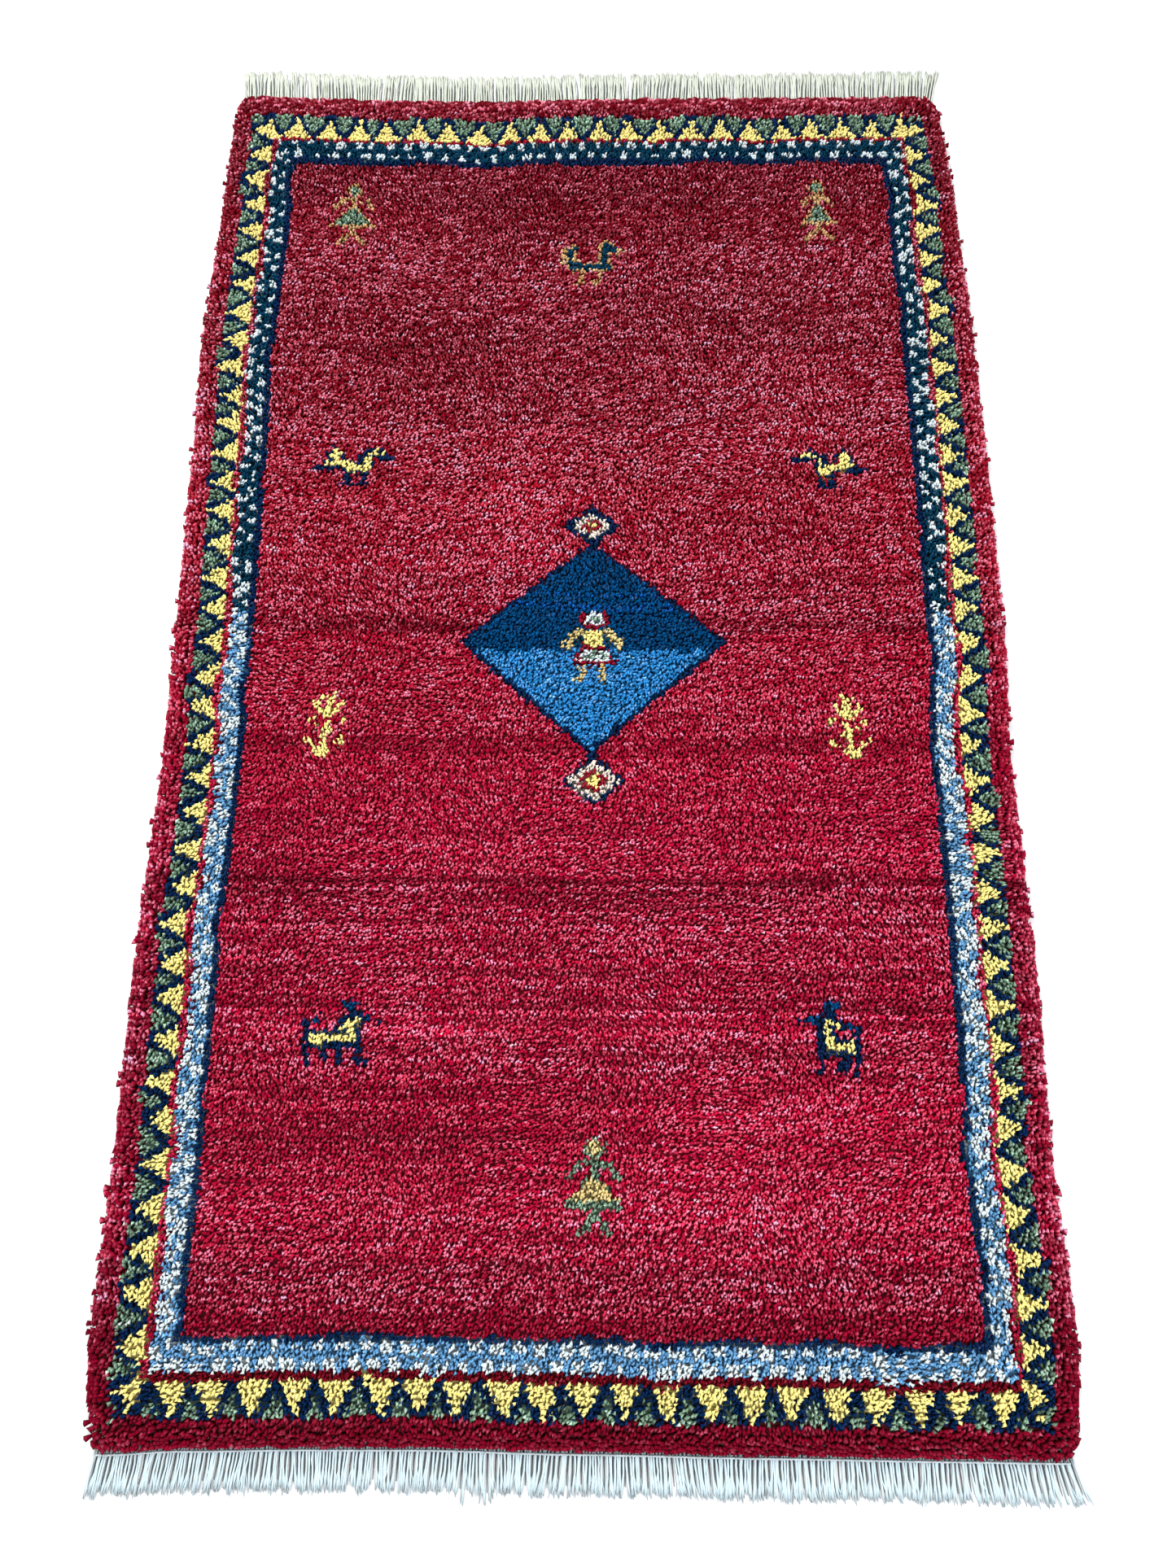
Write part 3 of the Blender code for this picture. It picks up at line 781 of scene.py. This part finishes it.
def build_pile(wool):
    """Every cut end of the pile, in strips along the length."""
    cells = knot_chart()
    row_at, column_at = np.mgrid[0:TUFT_ROWS, 0:TUFT_COLUMNS]
    shape = row_at.shape
    stagger = 0.25 * (2 * (row_at % 2) - 1)
    across = (column_at + 0.5 + stagger + DRAWS.uniform(-0.34, 0.34, shape)) / TUFT_COLUMNS
    near_end = np.minimum(row_at, TUFT_ROWS - 1 - row_at) < RIM_TUFTS
    jitter = np.where(near_end, RIM_JITTER, INNER_JITTER)
    along = (row_at + 0.5 + jitter * DRAWS.uniform(-1.0, 1.0, shape)) / TUFT_ROWS
    for shares, last in ((across.T, TUFT_COLUMNS - 1), (along, TUFT_ROWS - 1)):
        for index, (low, high) in enumerate(RIM_PLACES):
            shares[index] = DRAWS.uniform(low, high, shares.shape[1]) / (last + 1)
            shares[last - index] = 1.0 - DRAWS.uniform(low, high, shares.shape[1]) / (last + 1)
    x, y = plan_point(across, along, ROOT_INSET)
    body, tip_colour, ring = tuft_colours(cells, across, along, x, y)
    side_lean, end_lean = rim_lean(column_at, TUFT_COLUMNS), rim_lean(row_at, TUFT_ROWS)
    at_rim = np.maximum(np.abs(side_lean), np.abs(end_lean))
    uneven = DRAWS.uniform(0.90, 1.10, shape) + 0.10 * slow_wave(y + x, (0.035, 0.021, 0.013), 24)
    corner = np.clip(np.minimum((y - PILE_NEAR) / NEAR_CORNER_FADE, (PILE_FAR - y) / FAR_CORNER_FADE), 0.15, 1.0)
    lean_x = side_lean * corner * (SIDE_LEAN * uneven + stray_locks(column_at, TUFT_COLUMNS, shape))
    lean_y = end_lean * np.where(end_lean > 0, FAR_LEAN, NEAR_LEAN) * uneven
    brush_way = BRUSH_WAY + BRUSH_SWING * clouds(x, y, 0.20, 21) + DRAWS.normal(0.0, 0.35, shape)
    inner = np.clip(1.8 * (1.0 - at_rim), 0.0, 1.0)
    lean_x += inner * (BRUSH_LEAN * np.cos(brush_way) + DRAWS.normal(0.0, 0.0008, shape))
    lean_y += inner * (BRUSH_LEAN * np.sin(brush_way) + DRAWS.normal(0.0, 0.0008, shape))
    at_edge = at_rim > 1.0 - 2.5 / RIM_TUFTS
    heading = np.where(at_edge, np.arctan2(end_lean, side_lean), brush_way)
    stretch = np.where(at_edge, RIM_STRETCH, TUFT_STRETCH)
    turn = np.where(at_edge, math.pi + DRAWS.normal(0.0, 0.25, shape), DRAWS.uniform(0.0, 2.0 * math.pi, shape))
    top = pile_height(x, y) + DRAWS.normal(0.0, 0.0004, shape)
    top -= 0.0012 * at_rim ** 2
    radius = TUFT_RADIUS * DRAWS.uniform(0.90, 1.12, shape) * (1.0 + 0.24 * at_rim) * (0.86 + 0.20 * ring)
    roots = np.stack([x, y, np.full(shape, GROUND_TOP - 0.0012)], -1)
    tips = np.stack([x + lean_x, y + lean_y, top], -1)
    shoulders = np.stack([x + 0.9 * lean_x, y + 0.9 * lean_y, top - SHOULDER_DROP], -1)
    whole = Tufts(roots, tips, shoulders, radius, heading, stretch, turn, body, tip_colour, ring)
    edges = np.linspace(0, TUFT_ROWS, STRIPS + 1).astype(int)
    for number, (first, last) in enumerate(zip(edges, edges[1:])):
        count = (last - first) * TUFT_COLUMNS
        strip = Tufts(*(array[first:last].reshape((count,) + array.shape[2:]) for array in whole))
        low = np.array([RUG_LOW.x, strip.tips[:, 1].min() - 1.5 * TUFT_RADIUS])
        high = np.array([RUG_HIGH.x, strip.tips[:, 1].max() + 1.5 * TUFT_RADIUS])
        piece = build_tufts(f"pile_strip_{number + 1}", strip, (low, high))
        dress(piece, wool, ("pile_rug",))
    return cells


def dress(piece, material, replaced):
    """Give a piece its material, its body and the solids it stands for."""
    piece.data.materials.append(material)
    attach(piece, "root")
    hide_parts(*replaced)


GROUND_COLUMNS = 96
GROUND_ROWS = 164


def build_ground(ground_yarn, cells):
    """The woven ground under the pile, one thin closed sheet whose underside shows the knots' backs."""
    row_at, column_at = np.mgrid[0:GROUND_ROWS + 1, 0:GROUND_COLUMNS + 1]
    x, y = plan_point(column_at / GROUND_COLUMNS, row_at / GROUND_ROWS, GROUND_INSET)
    layers = [np.stack([x, y, np.full(x.shape, z)], -1).reshape(-1, 3) for z in (GROUND_TOP, 0.0)]
    index = row_at * (GROUND_COLUMNS + 1) + column_at
    a, b = index[:-1, :-1].ravel(), index[:-1, 1:].ravel()
    c, d = index[1:, 1:].ravel(), index[1:, :-1].ravel()
    top = np.stack([a, b, c, a, c, d], 1).reshape(-1, 3)
    under = top[:, ::-1] + index.size
    rim = np.concatenate([index[0, :], index[1:, -1], index[-1, -2::-1], index[-2:0:-1, 0]])
    after = np.roll(rim, -1)
    walls = np.concatenate([np.stack([rim, rim + index.size, after], 1),
                            np.stack([after, rim + index.size, after + index.size], 1)])
    sheet = mesh_from_arrays("woven_ground", np.concatenate(layers), np.concatenate([top, under, walls]))
    cell_row, cell_column = np.mgrid[0:GROUND_ROWS, 0:GROUND_COLUMNS]
    across, along = (cell_column + 0.5) / GROUND_COLUMNS, (cell_row + 0.5) / GROUND_ROWS
    cell_x, cell_y = plan_point(across, along, GROUND_INSET)
    body, _, _ = tuft_colours(cells, across, along, cell_x, cell_y)
    per_face = np.repeat(body.reshape(-1, 3), 2, 0)
    wall_colour = np.tile(to_linear(YARNS["wine"].colour), (len(walls), 1))
    face_colours = np.concatenate([per_face, per_face, wall_colour])
    rgba = np.ones((len(face_colours) * 3, 4), np.float32)
    rgba[:, :3] = np.repeat(face_colours, 3, 0)
    sheet.data.color_attributes.new("yarn", "FLOAT_COLOR", "CORNER").data.foreach_set("color", rgba.ravel())
    dress(sheet, ground_yarn, ("pile_rug",))


# Cords and strands

def swept_tube(centres, radii, sides, turn=0.0):
    """Points and triangles of a closed tube of rings round a level path."""
    centres = np.asarray(centres, float)
    radii = np.asarray(radii, float)
    ways = np.gradient(centres, axis=0)
    ways /= np.linalg.norm(ways, axis=1)[:, None]
    side_way = np.stack([ways[:, 1], -ways[:, 0], np.zeros(len(ways))], 1)
    side_way /= np.linalg.norm(side_way, axis=1)[:, None]
    up_way = np.cross(side_way, ways)
    angles = 2.0 * math.pi * np.arange(sides) / sides + turn
    rings = centres[:, None] + radii[..., None] * (
        np.cos(angles)[None, :, None] * side_way[:, None] + np.sin(angles)[None, :, None] * up_way[:, None])
    points = np.concatenate([rings.reshape(-1, 3), centres[:1], centres[-1:]])
    faces = []
    count = len(centres)
    for side in range(sides):
        following = (side + 1) % sides
        low = np.arange(count - 1) * sides
        faces.append(np.stack([low + side, low + following, low + sides + following], 1))
        faces.append(np.stack([low + side, low + sides + following, low + sides + side], 1))
        faces.append(np.array([[len(points) - 2, following, side]]))
        last = (count - 1) * sides
        faces.append(np.array([[len(points) - 1, last + side, last + following]]))
    return points, np.concatenate(faces)


def wrapped_cord(name, path, radius, wrap, depth, sides, colours=None):
    """A cord wound with yarn: rings that swell over each wrap, each wrap slanted."""
    path = np.asarray(path, float)
    lengths = np.concatenate([[0.0], np.cumsum(np.linalg.norm(np.diff(path, axis=0), axis=1))])
    stops = np.arange(0.0, lengths[-1], wrap / 3.0)
    centres = np.stack([np.interp(stops, lengths, path[:, axis]) for axis in range(3)], 1)
    angles = 2.0 * math.pi * np.arange(sides) / sides
    wave = np.sin(2.0 * math.pi * stops[:, None] / wrap + angles[None])
    wrap_number = np.floor(stops / wrap).astype(int)
    uneven = DRAWS.normal(0.0, 0.04, wrap_number.max() + 1)[wrap_number]
    radii = radius * (1.0 - depth / 2 + depth / 2 * wave + uneven[:, None] - 0.03)
    points, faces = swept_tube(centres, np.minimum(radii, radius), sides)
    ring_colours = None
    if colours is not None:
        tint = colours(stops, wrap_number)
        ring_colours = np.concatenate([np.repeat(tint, sides, 0), tint[:1], tint[-1:]])
    return mesh_from_arrays(name, points, faces, ring_colours)


def selvedge_colours(stops, wrap_number):
    """Dark red wraps, with pale and olive ones near the corners."""
    length = stops[-1]
    yarns = np.array([to_linear(YARNS["wine"].colour), to_linear(YARNS["gold"].colour), to_linear((96, 92, 62)),
                      to_linear(YARNS["madder"].colour)])
    picks = DRAWS.choice([0, 3], size=wrap_number.max() + 1)
    near_end = np.minimum(stops, length - stops) < 0.022
    corner_picks = DRAWS.choice([0, 1, 2], size=wrap_number.max() + 1)
    pick = np.where(near_end, corner_picks[wrap_number], picks[wrap_number])
    tone = np.exp(DRAWS.normal(0.0, 0.12, wrap_number.max() + 1))[wrap_number]
    return np.clip(yarns[pick] * tone[:, None], 0.0, 1.0)


def cotton_shades(stops, wrap_number):
    """Each wrap of the twined line a little lighter or darker."""
    return np.repeat(DRAWS.uniform(0.75, 1.0, wrap_number.max() + 1)[wrap_number][:, None], 3, 1)


def build_selvedges(wool):
    """The overcast side cords under the pile's overhang."""
    for name, side, column in (("selvedge_left", -1.0, "left"), ("selvedge_right", 1.0, "right")):
        along = np.linspace(-0.001, 1.001, 240)
        edge = read_station(SIDE_STATIONS, np.clip(along, 0.0, 1.0), column)
        x = edge - side * (GROUND_INSET - CORD_RADIUS - 0.0003)
        low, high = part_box(name)
        y = low.y + (high.y - low.y) * (along + 0.001) / 1.002
        path = np.stack([x, y, np.full(len(x), CORD_RADIUS)], 1)
        cord = wrapped_cord(f"overcast_{column}", path, CORD_RADIUS, 0.0036, 0.34, 6, selvedge_colours)
        dress(cord, wool, (name,))


def end_line(side, inset, x):
    """The Y of the rug's near or far end at each X."""
    along = 0.5 + 0.5 * side
    left = read_station(SIDE_STATIONS, along, "left") + CORNER_RADIUS
    right = read_station(SIDE_STATIONS, along, "right") - CORNER_RADIUS
    across = np.clip((x - left) / (right - left), 0.0, 1.0)
    if side > 0:
        return PILE_FAR + read_station(END_STATIONS, across, "far") - inset
    return PILE_NEAR - read_station(END_STATIONS, across, "near") + inset


# Warp ends: how many at each end, and their shape in metres
STRANDS = 320
STRAND_RADIUS = 0.00105
STRAND_RINGS = 8
STRAND_SIDES = 5
STRAND_DRIFT = 0.0026
STRAND_FAN = 0.009
FRAYS = 3
# Painted shade: strand sides and undersides dark, thin dark plies in the gaps, and strand roots dim under the
# pile's edge
GROOVE_SHADE = 0.10
SHADOW_PLY_RADIUS = 0.0006
UNDER_PILE = 0.0048
SHADOW_PLY_SHADES = (0.10, 0.16, 0.34)
TWINED_REACH = 0.0062
Fringe = namedtuple("Fringe", "name node side shortest longest cast loose_ends")
LooseEnd = namedtuple("LooseEnd", "x reach")
NEAR_FRINGE = Fringe("near_warp_ends", "fringe_near", -1.0, 0.88, 1.02, (0.94, 1.0, 1.0),
                     (LooseEnd(-0.106, 0.052), LooseEnd(-0.088, 0.054), LooseEnd(-0.083, 0.049)))
FAR_FRINGE = Fringe("far_warp_ends", "fringe_far", 1.0, 0.92, 1.05, (0.82, 0.77, 0.63), ())


def clumped_tips(roots):
    """Where strand tips lie across: uneven clumps of neighbours, fanned out at the corners."""
    tips = np.empty_like(roots)
    first = 0
    while first < len(roots):
        size = min(int(DRAWS.integers(3, 9)), len(roots) - first)
        group = roots[first:first + size]
        middle = group.mean() + DRAWS.normal(0.0, 0.0012)
        pull = DRAWS.uniform(0.05, 0.30)
        tips[first:first + size] = group + (middle - group) * pull + DRAWS.normal(0.0, 0.0006, size)
        first += size
    from_corner = np.minimum(roots - roots[0], roots[-1] - roots)
    tips += STRAND_DRIFT * slow_wave(roots, (0.31, 0.17, 0.09), 41) + STRAND_FAN * roots
    return tips + 0.007 * np.sign(roots) * np.clip(1.0 - from_corner / 0.025, 0.0, 1.0)


def one_strand(root, tip, start_y, side, reach):
    """The centres and radii of one warp end lying on the floor."""
    steps = np.linspace(0.0, 1.0, STRAND_RINGS)
    sway = DRAWS.normal(0.0, 0.0010)
    x = root + (tip - root) * steps ** 1.2 + sway * np.sin(math.pi * steps)
    x += DRAWS.normal(0.0, 0.00018, STRAND_RINGS)
    y = start_y + side * reach * steps
    z = STRAND_RADIUS + 0.0018 * (1.0 - steps) ** 3 + np.abs(DRAWS.normal(0.0, 0.0004, STRAND_RINGS))
    radii = STRAND_RADIUS * (1.0 + 0.22 * steps ** 5) * DRAWS.uniform(0.88, 1.12, STRAND_RINGS)
    radii[-1] *= 0.55
    return np.stack([x, y, z], 1), radii


def groove_shades(points, start_y, cast):
    """White where a strand faces up, with painted shade low down and under the pile's edge."""
    lift = np.clip(points[:, 2] / (1.7 * STRAND_RADIUS), 0.0, 1.0)
    shade = GROOVE_SHADE + (1.0 - GROOVE_SHADE) * lift ** 2.2
    clear = np.clip((np.abs(points[:, 1] - start_y) - UNDER_PILE) / 0.003, 0.08, 1.0)
    return (shade * clear)[:, None] * np.array(cast)


def frayed_tips(centres, side):
    """The thin plies that spread from the end of one warp end, each with its radii and sides."""
    tubes = []
    for _ in range(FRAYS):
        spread = np.array([DRAWS.normal(0.0, 0.0019), side * DRAWS.uniform(-0.001, 0.004), 0.0])
        fray = np.linspace(centres[-4], centres[-1] + spread, 3)
        tubes.append((fray, np.array([0.6, 0.85, 0.45]) * STRAND_RADIUS, 3))
    return tubes


def shadow_ply_shades(sides):
    """A dark ply's colour at each of its points, painted shade that is darkest near the rug."""
    rings = np.repeat(SHADOW_PLY_SHADES, sides)
    return np.repeat(np.concatenate([rings, SHADOW_PLY_SHADES[:1], SHADOW_PLY_SHADES[-1:]])[:, None], 3, 1)


def shadow_ply(centres, neighbour):
    """A thin dark ply of painted shade lying low between two warp ends, short of their tips."""
    low = 0.5 * (centres + neighbour)[[1, 4, 6]]
    low[:, 2] = SHADOW_PLY_RADIUS
    return low, np.array([1.0, 1.0, 0.5]) * SHADOW_PLY_RADIUS, 4


def build_fringe(fringe, cotton):
    """One end's warp ends with frayed tips, and the twined line over their roots."""
    along = 0.5 + 0.5 * fringe.side
    start = float(read_station(SIDE_STATIONS, along, "left")) + 0.004
    end = float(read_station(SIDE_STATIONS, along, "right")) - 0.004
    roots = np.linspace(start, end, STRANDS) + DRAWS.normal(0.0, 0.0004, STRANDS)
    outer = FAR_TIPS if fringe.side > 0 else NEAR_TIPS
    length = abs(outer - (PILE_FAR if fringe.side > 0 else PILE_NEAR))
    reaches = 0.004 + length * DRAWS.uniform(fringe.shortest, fringe.longest, STRANDS)
    for loose in fringe.loose_ends:
        reaches[np.abs(roots - loose.x).argmin()] = loose.reach
    points, faces, shades, total = [], [], [], 0
    before = None
    for root, tip, reach in zip(roots, clumped_tips(roots), reaches):
        start_y = float(end_line(fringe.side, 0.004, root))
        centres, radii = one_strand(root, tip, start_y, fringe.side, reach)
        tubes = [(centres, radii, STRAND_SIDES)] + frayed_tips(centres, fringe.side)
        plies = [(tube, False) for tube in tubes]
        if before is not None:
            # A thin dark ply of painted shade in the gap to the previous warp end
            plies.append((shadow_ply(centres, before), True))
        before = centres
        for (path, path_radii, sides), is_shadow_ply in plies:
            tube_points, tube_faces = swept_tube(path, np.repeat(path_radii[:, None], sides, 1), sides)
            tube_points[:, 2] = np.maximum(tube_points[:, 2], 0.00005)
            shades.append(shadow_ply_shades(sides) if is_shadow_ply else groove_shades(tube_points, start_y, fringe.cast))
            points.append(tube_points)
            faces.append(tube_faces + total)
            total += len(tube_points)
    piece = mesh_from_arrays(fringe.name, np.concatenate(points), np.concatenate(faces), np.concatenate(shades))
    dress(piece, cotton, (fringe.node,))
    x = np.linspace(start, end, 200)
    path = np.stack([x, end_line(fringe.side, -TWINED_REACH, x), np.full(len(x), 0.0042)], 1)
    line = wrapped_cord(f"twined_line_{fringe.node}", path, 0.0013, 0.0036, 0.5, 6, cotton_shades)
    dress(line, cotton, (fringe.node,))


# Materials

def new_material(name):
    """A material with its Principled shader."""
    material = bpy.data.materials.new(name)
    material.use_nodes = True
    nodes = material.node_tree.nodes
    shader = nodes["Principled BSDF"]
    return material, nodes, material.node_tree.links, shader


def add_noise(nodes, links, vector, scale, detail):
    noise = nodes.new("ShaderNodeTexNoise")
    noise.inputs["Scale"].default_value = scale
    noise.inputs["Detail"].default_value = detail
    links.new(vector, noise.inputs["Vector"])
    return noise.outputs["Fac"]


def add_bump(nodes, links, height, strength, distance, shader):
    bump = nodes.new("ShaderNodeBump")
    bump.inputs["Strength"].default_value = strength
    bump.inputs["Distance"].default_value = distance
    links.new(height, bump.inputs["Height"])
    links.new(bump.outputs["Normal"], shader.inputs["Normal"])


def multiply_colour(nodes, links, colour, factor, low, high):
    """The colour times a value that runs from low to high as factor runs from 0.3 to 0.7."""
    span = nodes.new("ShaderNodeMapRange")
    span.inputs["From Min"].default_value = 0.3
    span.inputs["From Max"].default_value = 0.7
    span.inputs["To Min"].default_value = low
    span.inputs["To Max"].default_value = high
    links.new(factor, span.inputs["Value"])
    mix = nodes.new("ShaderNodeVectorMath")
    mix.operation = "SCALE"
    links.new(colour, mix.inputs[0])
    links.new(span.outputs["Result"], mix.inputs["Scale"])
    return mix.outputs["Vector"]


def wool_material():
    """Knotted wool: each yarn's colour with its painted shade and highlight, fine fibres in colour and bump, and
    a soft sheen.
    """
    material, nodes, links, shader = new_material("knotted_wool")
    attribute = nodes.new("ShaderNodeAttribute")
    attribute.attribute_name = "yarn"
    place = nodes.new("ShaderNodeTexCoord").outputs["Object"]
    fibres = add_noise(nodes, links, place, 1400.0, 2.0)
    colour = multiply_colour(nodes, links, attribute.outputs["Color"], fibres, 0.78, 1.22)
    links.new(colour, shader.inputs["Base Color"])
    shader.inputs["Roughness"].default_value = 0.75
    shader.inputs["Specular IOR Level"].default_value = 0.02
    shader.inputs["Sheen Weight"].default_value = 0.008
    shader.inputs["Sheen Roughness"].default_value = 0.4
    shader.inputs["Sheen Tint"].default_value = (1.0, 0.7, 0.75, 1.0)
    add_bump(nodes, links, fibres, 0.8, 0.0006, shader)
    return material


def ground_material():
    """The tight woven back: knots in their own colours between rows of weft."""
    material, nodes, links, shader = new_material("woven_back")
    attribute = nodes.new("ShaderNodeAttribute")
    attribute.attribute_name = "yarn"
    place = nodes.new("ShaderNodeTexCoord").outputs["Object"]
    rows = nodes.new("ShaderNodeTexWave")
    rows.bands_direction = "Y"
    rows.inputs["Scale"].default_value = 0.314 / KNOT_PITCH
    rows.inputs["Distortion"].default_value = 1.2
    rows.inputs["Detail Scale"].default_value = 60.0
    links.new(place, rows.inputs["Vector"])
    colour = multiply_colour(nodes, links, attribute.outputs["Color"], rows.outputs["Fac"], 0.6, 1.0)
    links.new(colour, shader.inputs["Base Color"])
    shader.inputs["Roughness"].default_value = 0.9
    add_bump(nodes, links, rows.outputs["Fac"], 0.8, 0.0008, shader)
    return material


def cotton_material():
    """Plied white cotton with a cool cast, dirtier here and there along its length, with painted shade in its
    grooves.
    """
    material, nodes, links, shader = new_material("plied_cotton")
    attribute = nodes.new("ShaderNodeAttribute")
    attribute.attribute_name = "yarn"
    place = nodes.new("ShaderNodeTexCoord").outputs["Object"]
    tint = nodes.new("ShaderNodeMix")
    tint.data_type = "RGBA"
    tint.inputs["A"].default_value = (*to_linear((196, 203, 206)), 1.0)
    tint.inputs["B"].default_value = (*to_linear((222, 237, 244)), 1.0)
    links.new(add_noise(nodes, links, place, 90.0, 3.0), tint.inputs["Factor"])
    scale = nodes.new("ShaderNodeVectorMath")
    scale.operation = "MULTIPLY"
    links.new(tint.outputs["Result"], scale.inputs[0])
    links.new(attribute.outputs["Color"], scale.inputs[1])
    links.new(scale.outputs["Vector"], shader.inputs["Base Color"])
    shader.inputs["Roughness"].default_value = 0.85
    shader.inputs["Specular IOR Level"].default_value = 0.15
    add_bump(nodes, links, add_noise(nodes, links, place, 1800.0, 2.0), 0.7, 0.0004, shader)
    return material


def floor_material():
    """A plain pale floor."""
    material, _, _, shader = new_material("pale_floor")
    shader.inputs["Base Color"].default_value = (0.86, 0.86, 0.86, 1.0)
    shader.inputs["Roughness"].default_value = 0.8
    return material


# Stage

def build_stage():
    """Floor, soft light and camera."""
    bpy.ops.mesh.primitive_plane_add(size=12.0, location=(0.0, 0.0, -0.0002))
    floor = bpy.context.object
    floor.name = "floor"
    floor.data.materials.append(floor_material())

    world = bpy.data.worlds.new("pale_world")
    world.use_nodes = True
    world.node_tree.nodes["Background"].inputs["Color"].default_value = (0.95, 0.97, 1.0, 1.0)
    world.node_tree.nodes["Background"].inputs["Strength"].default_value = 0.95
    bpy.context.scene.world = world

    add_light("window_light", (-1.6, 2.4, 2.6), (0.0, 0.2, 0.0), 2.2, 150.0, (1.0, 0.99, 0.97))
    add_light("fill_light", (1.8, -1.4, 2.8), (0.0, 0.0, 0.0), 2.6, 58.0, (0.97, 0.98, 1.0))

    camera = bpy.data.cameras.new("camera")
    camera.lens = CAMERA_LENS
    camera.sensor_fit = "VERTICAL"
    camera.sensor_height = SENSOR_SIZE
    camera.clip_start = 0.01
    holder = bpy.data.objects.new("camera", camera)
    holder.location = CAMERA_PLACE
    holder.rotation_euler = [math.radians(turn) for turn in CAMERA_TURN]
    bpy.context.scene.collection.objects.link(holder)
    bpy.context.scene.camera = holder
    bpy.context.scene.view_settings.view_transform = "Standard"


def add_light(name, place, target, size, power, colour):
    """A large square soft light aimed at a point."""
    light = bpy.data.lights.new(name, "AREA")
    light.size = size
    light.energy = power
    light.color = colour
    holder = bpy.data.objects.new(name, light)
    holder.location = place
    way = Vector(target) - Vector(place)
    holder.rotation_euler = way.to_track_quat("-Z", "Y").to_euler()
    bpy.context.scene.collection.objects.link(holder)


build_stage()
wool = wool_material()
cotton = cotton_material()
chart_cells = build_pile(wool)
build_ground(ground_material(), chart_cells)
build_selvedges(wool)
build_fringe(NEAR_FRINGE, cotton)
build_fringe(FAR_FRINGE, cotton)

bpy.context.view_layer.update()
